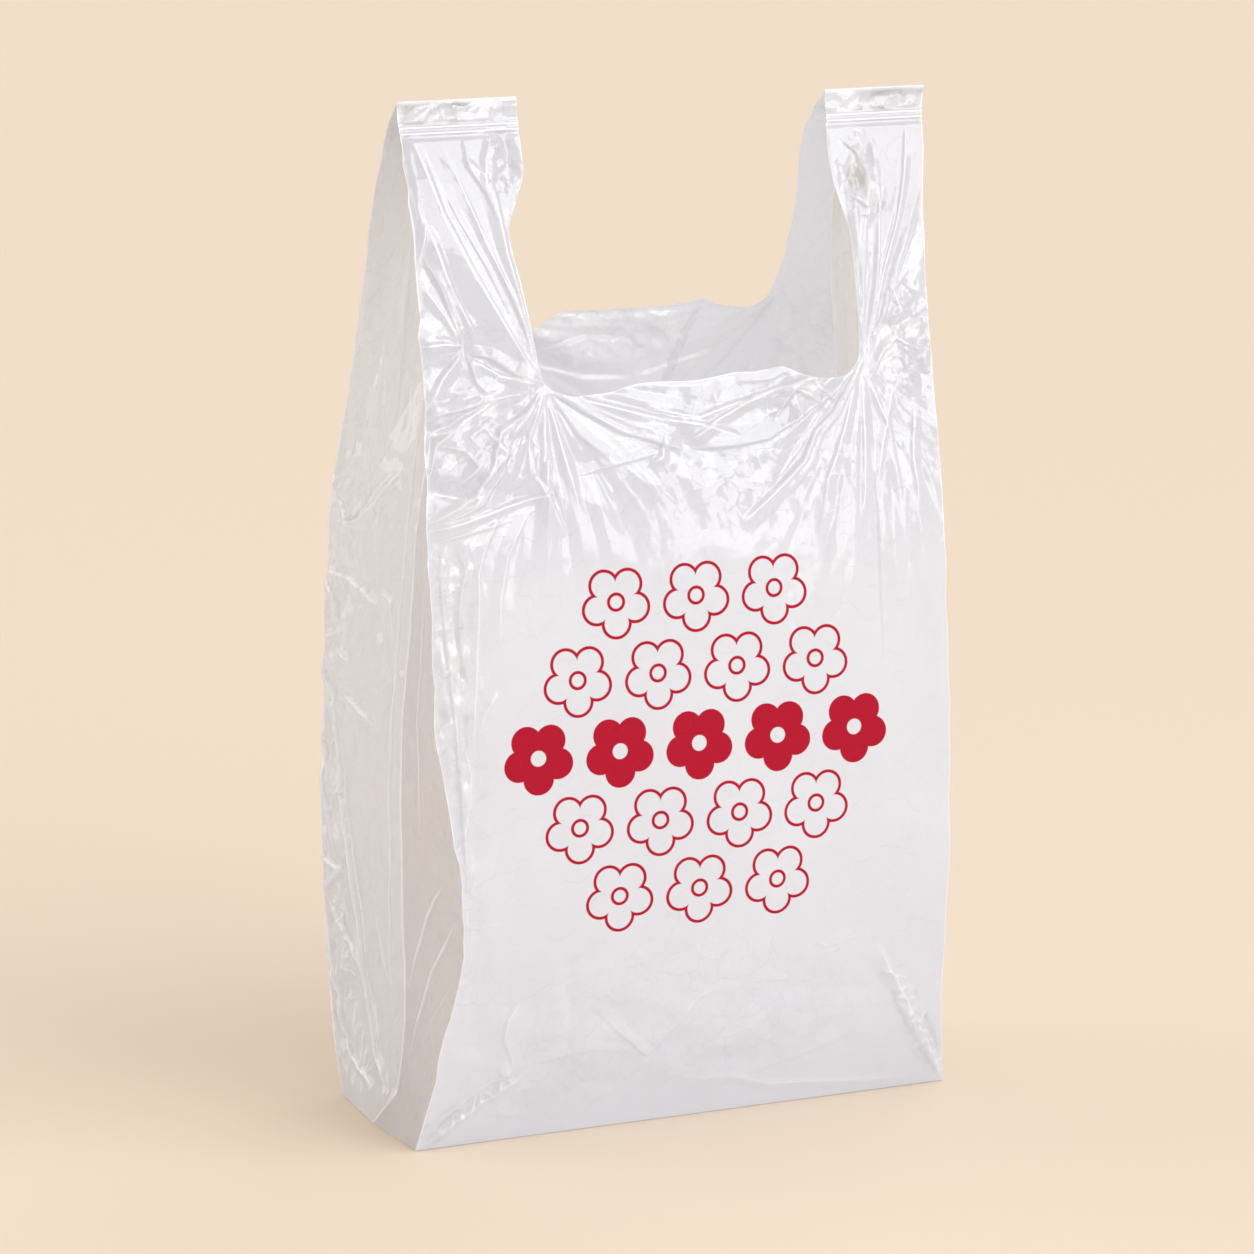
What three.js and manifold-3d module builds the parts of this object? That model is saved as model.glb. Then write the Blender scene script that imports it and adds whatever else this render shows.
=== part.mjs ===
import * as THREE from "three";
import { mergeVertices } from "three/addons/utils/BufferGeometryUtils.js";
import Module from "manifold-3d";

// A thin plastic carrier bag standing open: one gusseted tube of film, welded across the base, with a
// mouth cut out between two loop handles. Millimetres, +Z up, front towards -Y, +X to the viewer's
// right, origin on the floor at the middle of the base.

// Film
const FILM = 1.1; // wall of the solid: real film is far thinner and would not hold as a body
const TOP_SEAL = 2.6; // half depth under which front and back film are one body

// Body
const BODY_HEIGHT = 381; // floor to the front rim
const BASE_WIDTH = 296;
const BASE_DEPTH = 102;
const FOOT_WIDTH = 276; // just above the base, where the front starts to tilt under
const FOOT_DEPTH = 147;
const BELLY_WIDTH = 279;
const BELLY_DEPTH = 161;
const SHOULDER_WIDTH = 279;
const SHOULDER_DEPTH = 143;
const MOUTH_WIDTH = 277;
const MOUTH_DEPTH = 101;
const BACK_RIM_RISE = 21; // back rim above the front rim
const PANEL_CROWN = 3.5; // how far each big panel bows out at the belly
const SWAY = 6; // how far the middle of the bag sags to the left
const FRONT_EDGE_TUCK = 9; // the front left edge is drawn in low down
const BACK_EDGE_SPREAD = 8; // the back edges stand out above the floor

// Handles
const HANDLE_RISE = 140; // front rim to the fold at the top
const WAIST_DEPTH = 63; // front to back, halfway up the handles
const THROAT_DEPTH = 25; // front to back, just under the crimp
const TOP_WIDTH = 288; // across both handles at the fold
const TOP_LEAN = 9; // how far the tops lean to the right
const FOLD_THICKNESS = 2.6; // the folded edge at the very top
const RIGHT_DROP = 4; // the right handle stands this much lower than the left
const LEFT_HANDLE_TOP = 63;
const LEFT_HANDLE_WAIST = 50;
const LEFT_HANDLE_ROOT = 62;
const RIGHT_HANDLE_TOP = 57;
const RIGHT_HANDLE_WAIST = 43;
const RIGHT_HANDLE_ROOT = 41;
const ROOT_RADIUS = 13; // rounding of the mouth's lower corners
const RIM_DIP = 4; // the front rim sags between its peak and the roots

// Gusset creases, measured inwards from the outer edges
const CREASE_FOOT = 7;
const CREASE_BELLY = 9;
const CREASE_SHOULDER = 21;
const CREASE_MOUTH = 30;
const CREASE_WAIST = 37;
const CREASE_TOP = 40;
const GUSSET_BOW = 5; // a second fold in each gusset, near its back edge, stands out this far

// Base
const FLAP_HEIGHT = 14; // folded triangle low on each side
const FLAP_REACH = 4; // how far the weld's end stands out at the floor
const WELD_WIDTH = 6;
const WELD_HEIGHT = 2.4;
const WELD_OFFSET = -15; // the weld lies forward of the middle

// Crimp across each handle, below its top fold
const CRIMP_DROP = 14;
const CRIMP_PROUD = 0.9;
const CRIMP_WIDTH = 4;

// Mesh density
const FRONT_COLUMNS = 30;
const BACK_COLUMNS = 21;
const GUSSET_COLUMNS = 3;
const FOOT_ROWS = 4;
const BELLY_ROWS = 5;
const SHOULDER_ROWS = 12;
const HANDLE_ROWS = 9;
const EDGE_SHARE = 1 / 8; // folds fade out over this share of a panel, at its edges
const EDGE_BLEND = 10; // beside each edge, inner columns draw in over at least this width
const CURVE_STEPS = 12; // along each handle's inner edge
const CORNER_STEPS = 8; // round each lower corner of the mouth
const CUT_MARGIN = 10; // how far the mouth's cut runs past the top of the handles

const TOP = BODY_HEIGHT + HANDLE_RISE;
const CRIMP_HEIGHT = TOP - CRIMP_DROP;

const wasm = await Module();
wasm.setup();

// A smooth value by height, from stations given as [height, value] pairs.
function profile(...stations) {
  const heights = stations.map((s) => s[0]);
  const values = stations.map((s) => s[1]);
  const curve = new THREE.CubicInterpolant(heights, values, 1);
  return (z) => curve.evaluate(THREE.MathUtils.clamp(z, heights[0], heights.at(-1)))[0];
}

// Station heights: shares of the body below the rim, and of the handles above it
const FOOT = 0.16 * BODY_HEIGHT;
const CALF = 0.27 * BODY_HEIGHT;
const BELLY = 0.4 * BODY_HEIGHT;
const CHEST = 0.57 * BODY_HEIGHT;
const SHOULDER = 0.79 * BODY_HEIGHT;
const WAIST = BODY_HEIGHT + 0.53 * HANDLE_RISE;
const THROAT = BODY_HEIGHT + 0.85 * HANDLE_RISE;

const halfDepth = profile(
  [0, BASE_DEPTH / 2],
  [FOOT, FOOT_DEPTH / 2],
  [BELLY, BELLY_DEPTH / 2],
  [SHOULDER, SHOULDER_DEPTH / 2],
  [BODY_HEIGHT, MOUTH_DEPTH / 2],
  [WAIST, WAIST_DEPTH / 2],
  [THROAT, THROAT_DEPTH / 2],
  [TOP, FOLD_THICKNESS / 2],
);
const lean = profile(
  [0, 0],
  [FOOT, -SWAY / 2],
  [SHOULDER, -SWAY],
  [BODY_HEIGHT, -SWAY / 3],
  [WAIST, TOP_LEAN / 6],
  [TOP, TOP_LEAN],
);
const tuck = profile(
  [0, 0],
  [FOOT, 0],
  [CALF, FRONT_EDGE_TUCK],
  [BELLY, FRONT_EDGE_TUCK],
  [CHEST, 0],
  [SHOULDER, 0],
  [TOP, 0],
);
const spread = profile(
  [0, BACK_EDGE_SPREAD / 5],
  [FOOT, BACK_EDGE_SPREAD],
  [BELLY, BACK_EDGE_SPREAD / 2],
  [SHOULDER, 0],
  [TOP, 0],
);
const halfWidth = profile(
  [0, BASE_WIDTH / 2],
  [FOOT, FOOT_WIDTH / 2],
  [BELLY, BELLY_WIDTH / 2],
  [SHOULDER, SHOULDER_WIDTH / 2],
  [BODY_HEIGHT, MOUTH_WIDTH / 2],
  [WAIST, MOUTH_WIDTH / 2],
  [TOP, TOP_WIDTH / 2],
);
const creaseAbove = profile(
  [FLAP_HEIGHT, CREASE_FOOT],
  [BELLY, CREASE_BELLY],
  [SHOULDER, CREASE_SHOULDER],
  [BODY_HEIGHT, CREASE_MOUTH],
  [WAIST, CREASE_WAIST],
  [TOP, CREASE_TOP],
);

// How far a gusset's crease lies inside the outer edges. At the floor it stands out instead.
function crease(z) {
  if (z >= FLAP_HEIGHT) return creaseAbove(z);
  return THREE.MathUtils.lerp(-FLAP_REACH, CREASE_FOOT, z / FLAP_HEIGHT);
}

// Six corners of the tube at one height, counter-clockwise from above, starting front left
function corners(z) {
  const d = halfDepth(z);
  const left = lean(z) - halfWidth(z);
  const right = lean(z) + halfWidth(z);
  const inset = crease(z);
  return [
    new THREE.Vector2(left + tuck(z), -d),
    new THREE.Vector2(right, -d),
    new THREE.Vector2(right - inset, 0),
    new THREE.Vector2(right + spread(z) / 4, d),
    new THREE.Vector2(left - spread(z), d),
    new THREE.Vector2(left + inset, 0),
  ];
}

// The same outline moved inwards by one thickness, corner by corner
function insetOutline(points, thickness) {
  const count = points.length;
  const lines = points.map((p, i) => {
    const along = points[(i + 1) % count].clone().sub(p).normalize();
    const inward = new THREE.Vector2(-along.y, along.x);
    return { along, start: p.clone().addScaledVector(inward, thickness) };
  });
  return lines.map((line, i) => {
    const before = lines[(i + count - 1) % count];
    const gap = line.start.clone().sub(before.start);
    const share = gap.cross(line.along) / before.along.cross(line.along);
    return before.start.clone().addScaledVector(before.along, share);
  });
}

// Tension folds in the big panels: ridges from one point to another, in x and height
function fold(from, dx, dz, halfSpan, rise) {
  return { from, to: from.clone().add(new THREE.Vector2(dx, dz)), halfSpan, rise };
}

// The folds of the front or the back panel, whose rim is at the given height
function panelFolds(rim) {
  const leftRoot = new THREE.Vector2(LEFT_HANDLE_ROOT - MOUTH_WIDTH / 2, rim);
  const rightRoot = new THREE.Vector2(MOUTH_WIDTH / 2 - RIGHT_HANDLE_ROOT, rim);
  const baseLeft = new THREE.Vector2(-BASE_WIDTH / 2, 0);
  const baseRight = new THREE.Vector2(BASE_WIDTH / 2, 0);
  return [
    // rays that fan out below the left root
    fold(leftRoot, -30, -58, 10, 5),
    fold(leftRoot, 0, -84, 10, 4.5),
    fold(leftRoot, 18, -56, 9, -4),
    fold(leftRoot, 44, -50, 10, 4.5),
    fold(leftRoot, 78, -30, 10, 5),
    // pleats from the left root up to the outer top corner
    fold(leftRoot, -48, 112, 9, 4.5),
    fold(leftRoot, -28, 110, 8, -4),
    fold(leftRoot, -52, 44, 10, 5),
    fold(leftRoot, -58, 4, 11, 4.5),
    // sag folds under the rim and rays below the right root
    fold(rightRoot, -76, -26, 11, 5),
    fold(rightRoot, -40, -50, 10, 4.5),
    fold(rightRoot, -60, -92, 12, 4),
    fold(rightRoot, 6, -76, 9, 4),
    fold(rightRoot, 24, -64, 9, -3.5),
    fold(rightRoot, 14, 96, 9, 4.5),
    fold(rightRoot, 34, 112, 9, -4),
    // diagonals above the base, where the panel starts to tilt under
    fold(baseLeft, 74, 54, 14, 5),
    fold(baseRight, -50, 92, 14, 5),
    // long soft folds down the sides of the panel
    fold(baseLeft, 40, 330, 12, -3),
    fold(baseRight, -26, 300, 12, 3),
  ];
}

// Height of one ridge at a point: full on its line, down to nothing at its half span and its ends
function ridge(f, x, z) {
  const run = f.to.clone().sub(f.from);
  const at = new THREE.Vector2(x, z).sub(f.from);
  const share = at.dot(run) / run.lengthSq();
  if (share <= 0 || share >= 1) return 0;
  const away = Math.abs(at.cross(run)) / run.length();
  const slope = Math.max(0, 1 - away / f.halfSpan);
  return f.rise * slope * Math.sin(Math.PI * Math.min(1, 0.15 + 0.85 * share));
}

function crimp(z) {
  return CRIMP_PROUD * Math.max(0, 1 - Math.abs(z - CRIMP_HEIGHT) / (CRIMP_WIDTH / 2));
}

// How far a panel stands out of the straight line between its two edges
function relief(folds, x, z, across) {
  const { smoothstep } = THREE.MathUtils;
  const calm = smoothstep(TOP - z, CRIMP_DROP, 3 * CRIMP_DROP);
  const crown = PANEL_CROWN * Math.sin(Math.PI * across) * smoothstep(z, 0, FOOT);
  const fade = Math.min(across, 1 - across) / EDGE_SHARE;
  const edge = Math.min(1, fade) * smoothstep(z, 0, FLAP_HEIGHT);
  return calm * (crown + edge * folds.reduce((sum, f) => sum + ridge(f, x, z), 0));
}

// How far a gusset's second fold stands out, by its share of the way from the back edge to the crease
function bow(z, share) {
  const { smoothstep } = THREE.MathUtils;
  const along = smoothstep(z, 0, FOOT) * (1 - smoothstep(z, CHEST, BODY_HEIGHT));
  return GUSSET_BOW * along * Math.min(3 * share, 1.5 * (1 - share));
}

// How far a point on the right handle is let down
function drop(x, z) {
  const { smoothstep } = THREE.MathUtils;
  return RIGHT_DROP * smoothstep(z, BODY_HEIGHT, TOP) * smoothstep(x, -BASE_WIDTH / 6, BASE_WIDTH / 6);
}

const frontFolds = panelFolds(BODY_HEIGHT);
const backFolds = panelFolds(BODY_HEIGHT + BACK_RIM_RISE);

// All points of the tube's outline at one height, from its six corners
function outline(sixCorners, z, proud) {
  const [frontLeft, frontRight, rightFold, backRight, backLeft, leftFold] = sixCorners;
  const points = [];
  const run = (from, to, columns, shift) => {
    for (let i = 0; i < columns; i += 1) {
      const p = from.clone().lerp(to, i / columns);
      shift(p, i / columns);
      points.push(new THREE.Vector3(p.x, p.y, z - drop(p.x, z)));
    }
  };
  run(frontLeft, frontRight, FRONT_COLUMNS, (p, share) => {
    p.y -= proud + relief(frontFolds, p.x, z, share);
  });
  run(frontRight, rightFold, GUSSET_COLUMNS, () => {});
  run(rightFold, backRight, GUSSET_COLUMNS, (p, share) => {
    p.x += bow(z, 1 - share);
  });
  run(backRight, backLeft, BACK_COLUMNS, (p, share) => {
    p.y += proud + relief(backFolds, p.x, z, share);
  });
  run(backLeft, leftFold, GUSSET_COLUMNS, (p, share) => {
    p.x -= bow(z, share);
  });
  run(leftFold, frontLeft, GUSSET_COLUMNS, () => {});
  return points;
}

// A closed solid through a stack of outlines that all have the same number of points
function loft(rings) {
  const count = rings[0].length;
  const centres = [rings[0], rings.at(-1)].map((ring) => {
    const box = new THREE.Box3().setFromPoints(ring);
    return box.getCenter(new THREE.Vector3()).setY(0);
  });
  const positions = [...rings.flat(), ...centres].flatMap((p) => p.toArray());
  const index = [];
  for (let k = 0; k + 1 < rings.length; k += 1) {
    for (let i = 0; i < count; i += 1) {
      const a = k * count + i;
      const b = k * count + ((i + 1) % count);
      index.push(a, b, b + count, a, b + count, a + count);
    }
  }
  const top = (rings.length - 1) * count;
  for (let i = 0; i < count; i += 1) {
    const next = (i + 1) % count;
    index.push(next, i, top + count, top + i, top + next, top + count + 1);
  }
  const geometry = new THREE.BufferGeometry();
  geometry.setAttribute("position", new THREE.Float32BufferAttribute(positions, 3));
  geometry.setIndex(index);
  return geometry;
}

function solidOf(geometry) {
  const bare = new THREE.BufferGeometry();
  bare.setAttribute("position", geometry.getAttribute("position"));
  bare.setIndex(geometry.index);
  const merged = mergeVertices(bare, 1e-4);
  return new wasm.Manifold(
    new wasm.Mesh({
      numProp: 3,
      vertProperties: merged.getAttribute("position").array,
      triVerts: new Uint32Array(merged.index.array),
    }),
  );
}

function geometryOf(solid) {
  const mesh = solid.getMesh();
  const geometry = new THREE.BufferGeometry();
  geometry.setAttribute("position", new THREE.BufferAttribute(mesh.vertProperties, 3));
  geometry.setIndex(new THREE.BufferAttribute(mesh.triVerts, 1));
  geometry.computeVertexNormals();
  return geometry;
}

// Heights of the rows: even steps within each stretch of the body and the handles
function rowHeights() {
  const below = CRIMP_HEIGHT - CRIMP_WIDTH / 2;
  const above = CRIMP_HEIGHT + CRIMP_WIDTH / 2;
  const stretches = [
    [FLAP_HEIGHT, FOOT, FOOT_ROWS],
    [FOOT, CHEST, BELLY_ROWS],
    [CHEST, BODY_HEIGHT, SHOULDER_ROWS],
    [BODY_HEIGHT, below, HANDLE_ROWS],
    [below, above, 2],
    [above, TOP, 3],
  ];
  const rows = [0, FLAP_HEIGHT];
  for (const [low, high, steps] of stretches) {
    for (let i = 1; i <= steps; i += 1) rows.push(THREE.MathUtils.lerp(low, high, i / steps));
  }
  return rows;
}

// The tube as a solid, with the crimp standing proud on both handles
function outerTube() {
  return loft(rowHeights().map((z) => outline(corners(z), z, crimp(z))));
}

// Where a panel lies, front to back, at one place across it
function panelAt(panel, x) {
  const step = panel.findIndex((p, i) => i > 0 && (x - p.x) * (x - panel[i - 1].x) <= 0);
  const after = panel[Math.max(step, 1)];
  const before = panel[Math.max(step, 1) - 1];
  return THREE.MathUtils.mapLinear(x, before.x, after.x, before.y, after.y);
}

// Lays the inner face of a panel behind its outer face, column behind column, drawn in at its edges
function lineFace(inner, outer, first, columns, inward) {
  const panel = outer.slice(first, first + columns + 1);
  const shifts = [first, first + columns].map((i) => ({
    edge: outer[i].x,
    shift: inner[i].x - outer[i].x,
  }));
  for (let i = 0; i < columns; i += 1) {
    const x = shifts.reduce((sum, { edge, shift }) => {
      const reach = EDGE_BLEND + 3 * Math.abs(shift);
      return sum + shift * Math.max(0, 1 - Math.abs(panel[i].x - edge) / reach);
    }, panel[i].x);
    inner[first + i].set(x, panelAt(panel, x) + inward, inner[first + i].z);
  }
}

function innerRing(z) {
  const outer = outline(corners(z), z, 0);
  const inner = outline(insetOutline(corners(z), FILM), z, 0);
  lineFace(inner, outer, 0, FRONT_COLUMNS, FILM);
  lineFace(inner, outer, FRONT_COLUMNS + 2 * GUSSET_COLUMNS, BACK_COLUMNS, -FILM);
  return inner;
}

// The space inside the film, from the base up to where the layers meet
function innerTube() {
  const rows = rowHeights().filter((z) => z > 0 && halfDepth(z) > TOP_SEAL);
  return loft([FILM, ...rows].map(innerRing));
}

// One half of the mouth cut: a U between the handles, cut through the front or the back film
function mouthCutter(isFront) {
  const rim = isFront ? BODY_HEIGHT : BODY_HEIGHT + BACK_RIM_RISE;
  const dip = isFront ? RIM_DIP : 0;
  const innerLeft = (z, width) => lean(z) - halfWidth(z) + width;
  const innerRight = (z, width) => lean(z) + halfWidth(z) - width;
  const above = TOP + CUT_MARGIN;
  const left = new THREE.SplineCurve([
    new THREE.Vector2(innerLeft(TOP, LEFT_HANDLE_TOP), TOP),
    new THREE.Vector2(innerLeft(THROAT, LEFT_HANDLE_TOP), THROAT),
    new THREE.Vector2(innerLeft(WAIST, LEFT_HANDLE_WAIST), WAIST),
    new THREE.Vector2(innerLeft(rim, LEFT_HANDLE_ROOT), rim + ROOT_RADIUS),
  ]);
  const right = new THREE.SplineCurve([
    new THREE.Vector2(innerRight(rim, RIGHT_HANDLE_ROOT), rim + ROOT_RADIUS),
    new THREE.Vector2(innerRight(WAIST, RIGHT_HANDLE_WAIST), WAIST),
    new THREE.Vector2(innerRight(THROAT, RIGHT_HANDLE_TOP), THROAT),
    new THREE.Vector2(innerRight(TOP, RIGHT_HANDLE_TOP), TOP),
  ]);
  const shape = new THREE.Shape();
  const start = left.points[0];
  const end = right.points.at(-1);
  shape.moveTo(start.x, above);
  left.getPoints(CURVE_STEPS).forEach((p) => shape.lineTo(p.x, p.y));
  const low = left.points.at(-1);
  const high = right.points[0];
  const middle = (low.x + high.x) / 2;
  shape.quadraticCurveTo(low.x, rim - dip, low.x + ROOT_RADIUS, rim - dip);
  shape.quadraticCurveTo(middle, rim + dip, high.x - ROOT_RADIUS, rim - dip);
  shape.quadraticCurveTo(high.x, rim - dip, high.x, high.y);
  right.getPoints(CURVE_STEPS).forEach((p) => shape.lineTo(p.x, p.y));
  shape.lineTo(end.x, above);
  shape.closePath();
  const reach = BELLY_DEPTH;
  const geometry = new THREE.ExtrudeGeometry(shape, {
    depth: reach,
    bevelEnabled: false,
    curveSegments: CORNER_STEPS,
  });
  geometry.rotateX(Math.PI / 2);
  geometry.translate(0, isFront ? 0 : reach, 0);
  return geometry;
}

// The weld where front and back film meet under the base, a flat rib from end to end
function baseWeld() {
  const length = BASE_WIDTH + 2 * FLAP_REACH * (1 + (2 * WELD_OFFSET) / BASE_DEPTH);
  const weld = new THREE.BoxGeometry(length, WELD_WIDTH, WELD_HEIGHT);
  weld.translate(0, WELD_OFFSET, WELD_HEIGHT / 2);
  return weld;
}

function bagSolid() {
  return solidOf(outerTube())
    .subtract(solidOf(innerTube()))
    .add(solidOf(baseWeld()))
    .subtract(solidOf(mouthCutter(true)))
    .subtract(solidOf(mouthCutter(false)));
}

function filmMaterial() {
  return new THREE.MeshStandardMaterial({
    name: "film",
    color: 0xe9e7ea,
    roughness: 0.32,
    metalness: 0,
  });
}

const bag = new THREE.Mesh(geometryOf(bagSolid()), filmMaterial());
bag.name = "bag";

const carrierBag = new THREE.Group();
carrierBag.add(bag);

export default carrierBag;
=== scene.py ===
import math

import bpy
import numpy as np
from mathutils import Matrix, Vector


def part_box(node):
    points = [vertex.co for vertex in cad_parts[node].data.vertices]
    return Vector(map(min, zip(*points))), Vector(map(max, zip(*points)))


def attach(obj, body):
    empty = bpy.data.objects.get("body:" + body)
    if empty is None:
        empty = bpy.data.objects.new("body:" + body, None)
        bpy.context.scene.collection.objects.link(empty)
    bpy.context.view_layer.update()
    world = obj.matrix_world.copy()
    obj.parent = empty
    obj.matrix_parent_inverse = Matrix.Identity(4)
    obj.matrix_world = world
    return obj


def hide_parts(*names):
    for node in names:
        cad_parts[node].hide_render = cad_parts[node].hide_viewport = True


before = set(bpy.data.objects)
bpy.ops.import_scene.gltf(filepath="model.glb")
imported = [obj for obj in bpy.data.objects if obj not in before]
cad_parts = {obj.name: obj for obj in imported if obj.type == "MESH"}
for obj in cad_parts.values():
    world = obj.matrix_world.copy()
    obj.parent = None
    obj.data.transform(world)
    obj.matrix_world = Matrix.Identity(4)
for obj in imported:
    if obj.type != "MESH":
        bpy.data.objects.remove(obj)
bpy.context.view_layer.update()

# The bag is one tube of thin cloudy film with a gusset down each side. The script shapes it in
# millimetres, in the frame's own axes, and MM turns each finished point into metres.
MM = 0.001
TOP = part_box("bag")[1].z / MM
RIM = 381
BACK_RIM = 402
CRIMP = TOP - 14

# Stations up the bag
FOOT = 0.16 * RIM
CALF = 0.27 * RIM
BELLY = 0.4 * RIM
CHEST = 0.57 * RIM
SHOULDER = 0.79 * RIM
WAIST = RIM + 74
THROAT = RIM + 119

# Mesh and relief
BODY_CELL = 1.5
HANDLE_CELL = 0.72
CRIMP_CELL = 0.5
FRONT_COLUMN = 0.7
BACK_COLUMN = 1.4
LEFT_COLUMN = 0.9
RIGHT_COLUMN = 1.5
BASE_CELL = 2.5
RELIEF_STEP = 0.55
PANEL_WIDTH = 280
GUSSET_FILM = 165
EDGE_FADE = 5

# Each handle's crimp: two weld lines either side of CRIMP, and a dent under them
WELD_GAP = 1.3
WELD_HALF = 1.1
WELD_RISE = 0.75
DENT_BELOW = 3.6
DENT_HALF = 1.6
DENT_DEPTH = 0.7

# How the rim of the mouth curls in, and within what distance of it
RIM_CURL = 0.5
RIM_CURL_WIDTH = 2.4

# Crumples under FINE crush the film. Crest lines, painted highlights along the crests, are faint on low
# creases, clear from CLEAR_RISE up and unseen from FAR away. A sharpness under 1 draws them wider.
FINE = 12
CLEAR_RISE = 2
FAINTEST = 0.05
FAR = 60
GUSSET_SHARPNESS = 0.45
EDGE_SHARPNESS = 0.8
UNEVEN_STEP = 0.618


def smooth(value, low, high):
    """0 below low, 1 above high, and a smooth step between them."""
    t = np.clip((value - low) / (high - low), 0, 1)
    return t * t * (3 - 2 * t)


def fall(value, low, high):
    """1 below low, 0 above high, and a smooth step between them."""
    return 1 - smooth(value, low, high)


def profile(*stations):
    """A smooth curve by height, through stations given as (height, value)."""
    heights, values = np.array(stations, float).T
    slopes = np.zeros_like(values)
    slopes[1:-1] = (values[2:] - values[:-2]) / (heights[2:] - heights[:-2])
    slopes[0] = 1.5 * (values[1] - values[0]) / (heights[1] - heights[0]) - slopes[1] / 2
    slopes[-1] = 1.5 * (values[-1] - values[-2]) / (heights[-1] - heights[-2]) - slopes[-2] / 2

    def at(z):
        z = np.clip(z, heights[0], heights[-1])
        i = np.clip(np.searchsorted(heights, z) - 1, 0, len(heights) - 2)
        h = heights[i + 1] - heights[i]
        t = (z - heights[i]) / h
        low = (1 + 2 * t) * values[i] + t * h * slopes[i]
        high = (3 - 2 * t) * values[i + 1] - (1 - t) * h * slopes[i + 1]
        return low * (1 - t) ** 2 + high * t * t

    return at


# The tube's half depth and half width, and how its edges stray, by height
half_depth = profile(
    (0, 51), (FOOT, 73.5), (BELLY, 80.5), (SHOULDER, 71.5), (RIM, 50.5),
    (WAIST, 31.5), (THROAT, 12.5), (CRIMP + 2, 7), (TOP, 4),
)
half_width = profile(
    (0, 148), (FOOT, 138), (BELLY, 139.5), (SHOULDER, 139.5), (RIM, 138.5),
    (WAIST, 138.5), (TOP, 144),
)
lean = profile((0, 0), (FOOT, -3), (SHOULDER, -6), (RIM, -2), (WAIST, 1.5), (TOP, 9))
tuck = profile((0, 0), (FOOT, 0), (CALF, 9), (BELLY, 9), (CHEST, 0), (SHOULDER, 0), (TOP, 0))
spread = profile((0, 1.6), (FOOT, 8), (BELLY, 4), (SHOULDER, 0), (TOP, 0))
fold_inset = profile(
    (14, 7), (BELLY, 9), (SHOULDER, 21), (RIM, 30), (WAIST, 37), (TOP, 40),
)
fold_forward = profile((CRIMP - 2, 0), (CRIMP + 3, 0.6), (TOP - 3, 6.5), (TOP, 8))
CROWN = 3.5
FLAP_HEIGHT = 14
FLAP_REACH = 4
RIGHT_DROP = 4
WELD_Y = -15
BASE_WELD_HALF = 4


def front_y(z):
    """How far forward the front film lies. It rises straight through the crimp to the top fold."""
    return -half_depth(z)


def back_y(z):
    """How far back the back film lies. Above the crimp it leans forward to the top fold."""
    return half_depth(z) - fold_forward(z)


def inset(z):
    """How far a gusset's middle crease lies inside the edges. At the floor it stands out."""
    low = -FLAP_REACH + (fold_inset(FLAP_HEIGHT) + FLAP_REACH) * z / FLAP_HEIGHT
    return np.where(z < FLAP_HEIGHT, low, fold_inset(z))


def drop(x, z):
    """How far a point on the right handle is let down."""
    return RIGHT_DROP * smooth(z, RIM, TOP) * smooth(x, -49, 49)


# Sharp-edged relief
def facets(p, q, seed):
    """Flat three-sided facets on a lattice of unit cells, from -1 to 1 high."""
    table = np.random.default_rng(seed).uniform(-1, 1, (64, 64))
    shift = (p + q) * (math.sqrt(3) - 1) / 2
    a, b = p + shift, q + shift
    i, j = np.floor(a).astype(int), np.floor(b).astype(int)
    fa, fb = a - i, b - j
    first = table[i % 64, j % 64]
    last = table[(i + 1) % 64, (j + 1) % 64]
    across = np.where(fa > fb, table[(i + 1) % 64, j % 64], table[i % 64, (j + 1) % 64])
    more, less = np.maximum(fa, fb), np.minimum(fa, fb)
    return first * (1 - more) + across * (more - less) + last * less


def loose_facets(p, q, seed):
    """Facets of uneven size: their lattice is pulled about before they are cut."""
    pulled_p = p + 0.55 * facets(p * 0.7 + 11, q * 0.7, seed + 1)
    pulled_q = q + 0.55 * facets(p * 0.7, q * 0.7 + 23, seed + 2)
    return facets(pulled_p, pulled_q, seed)


def kinks(z, size, seed):
    """A line of uneven straight pieces, from -1 to 1."""
    return loose_facets(z / size, 0 * z + 0.5, seed)


def nearer(first, second):
    """The distance from the nearer of two lines."""
    return np.where(np.abs(second) < np.abs(first), second, first)


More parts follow.
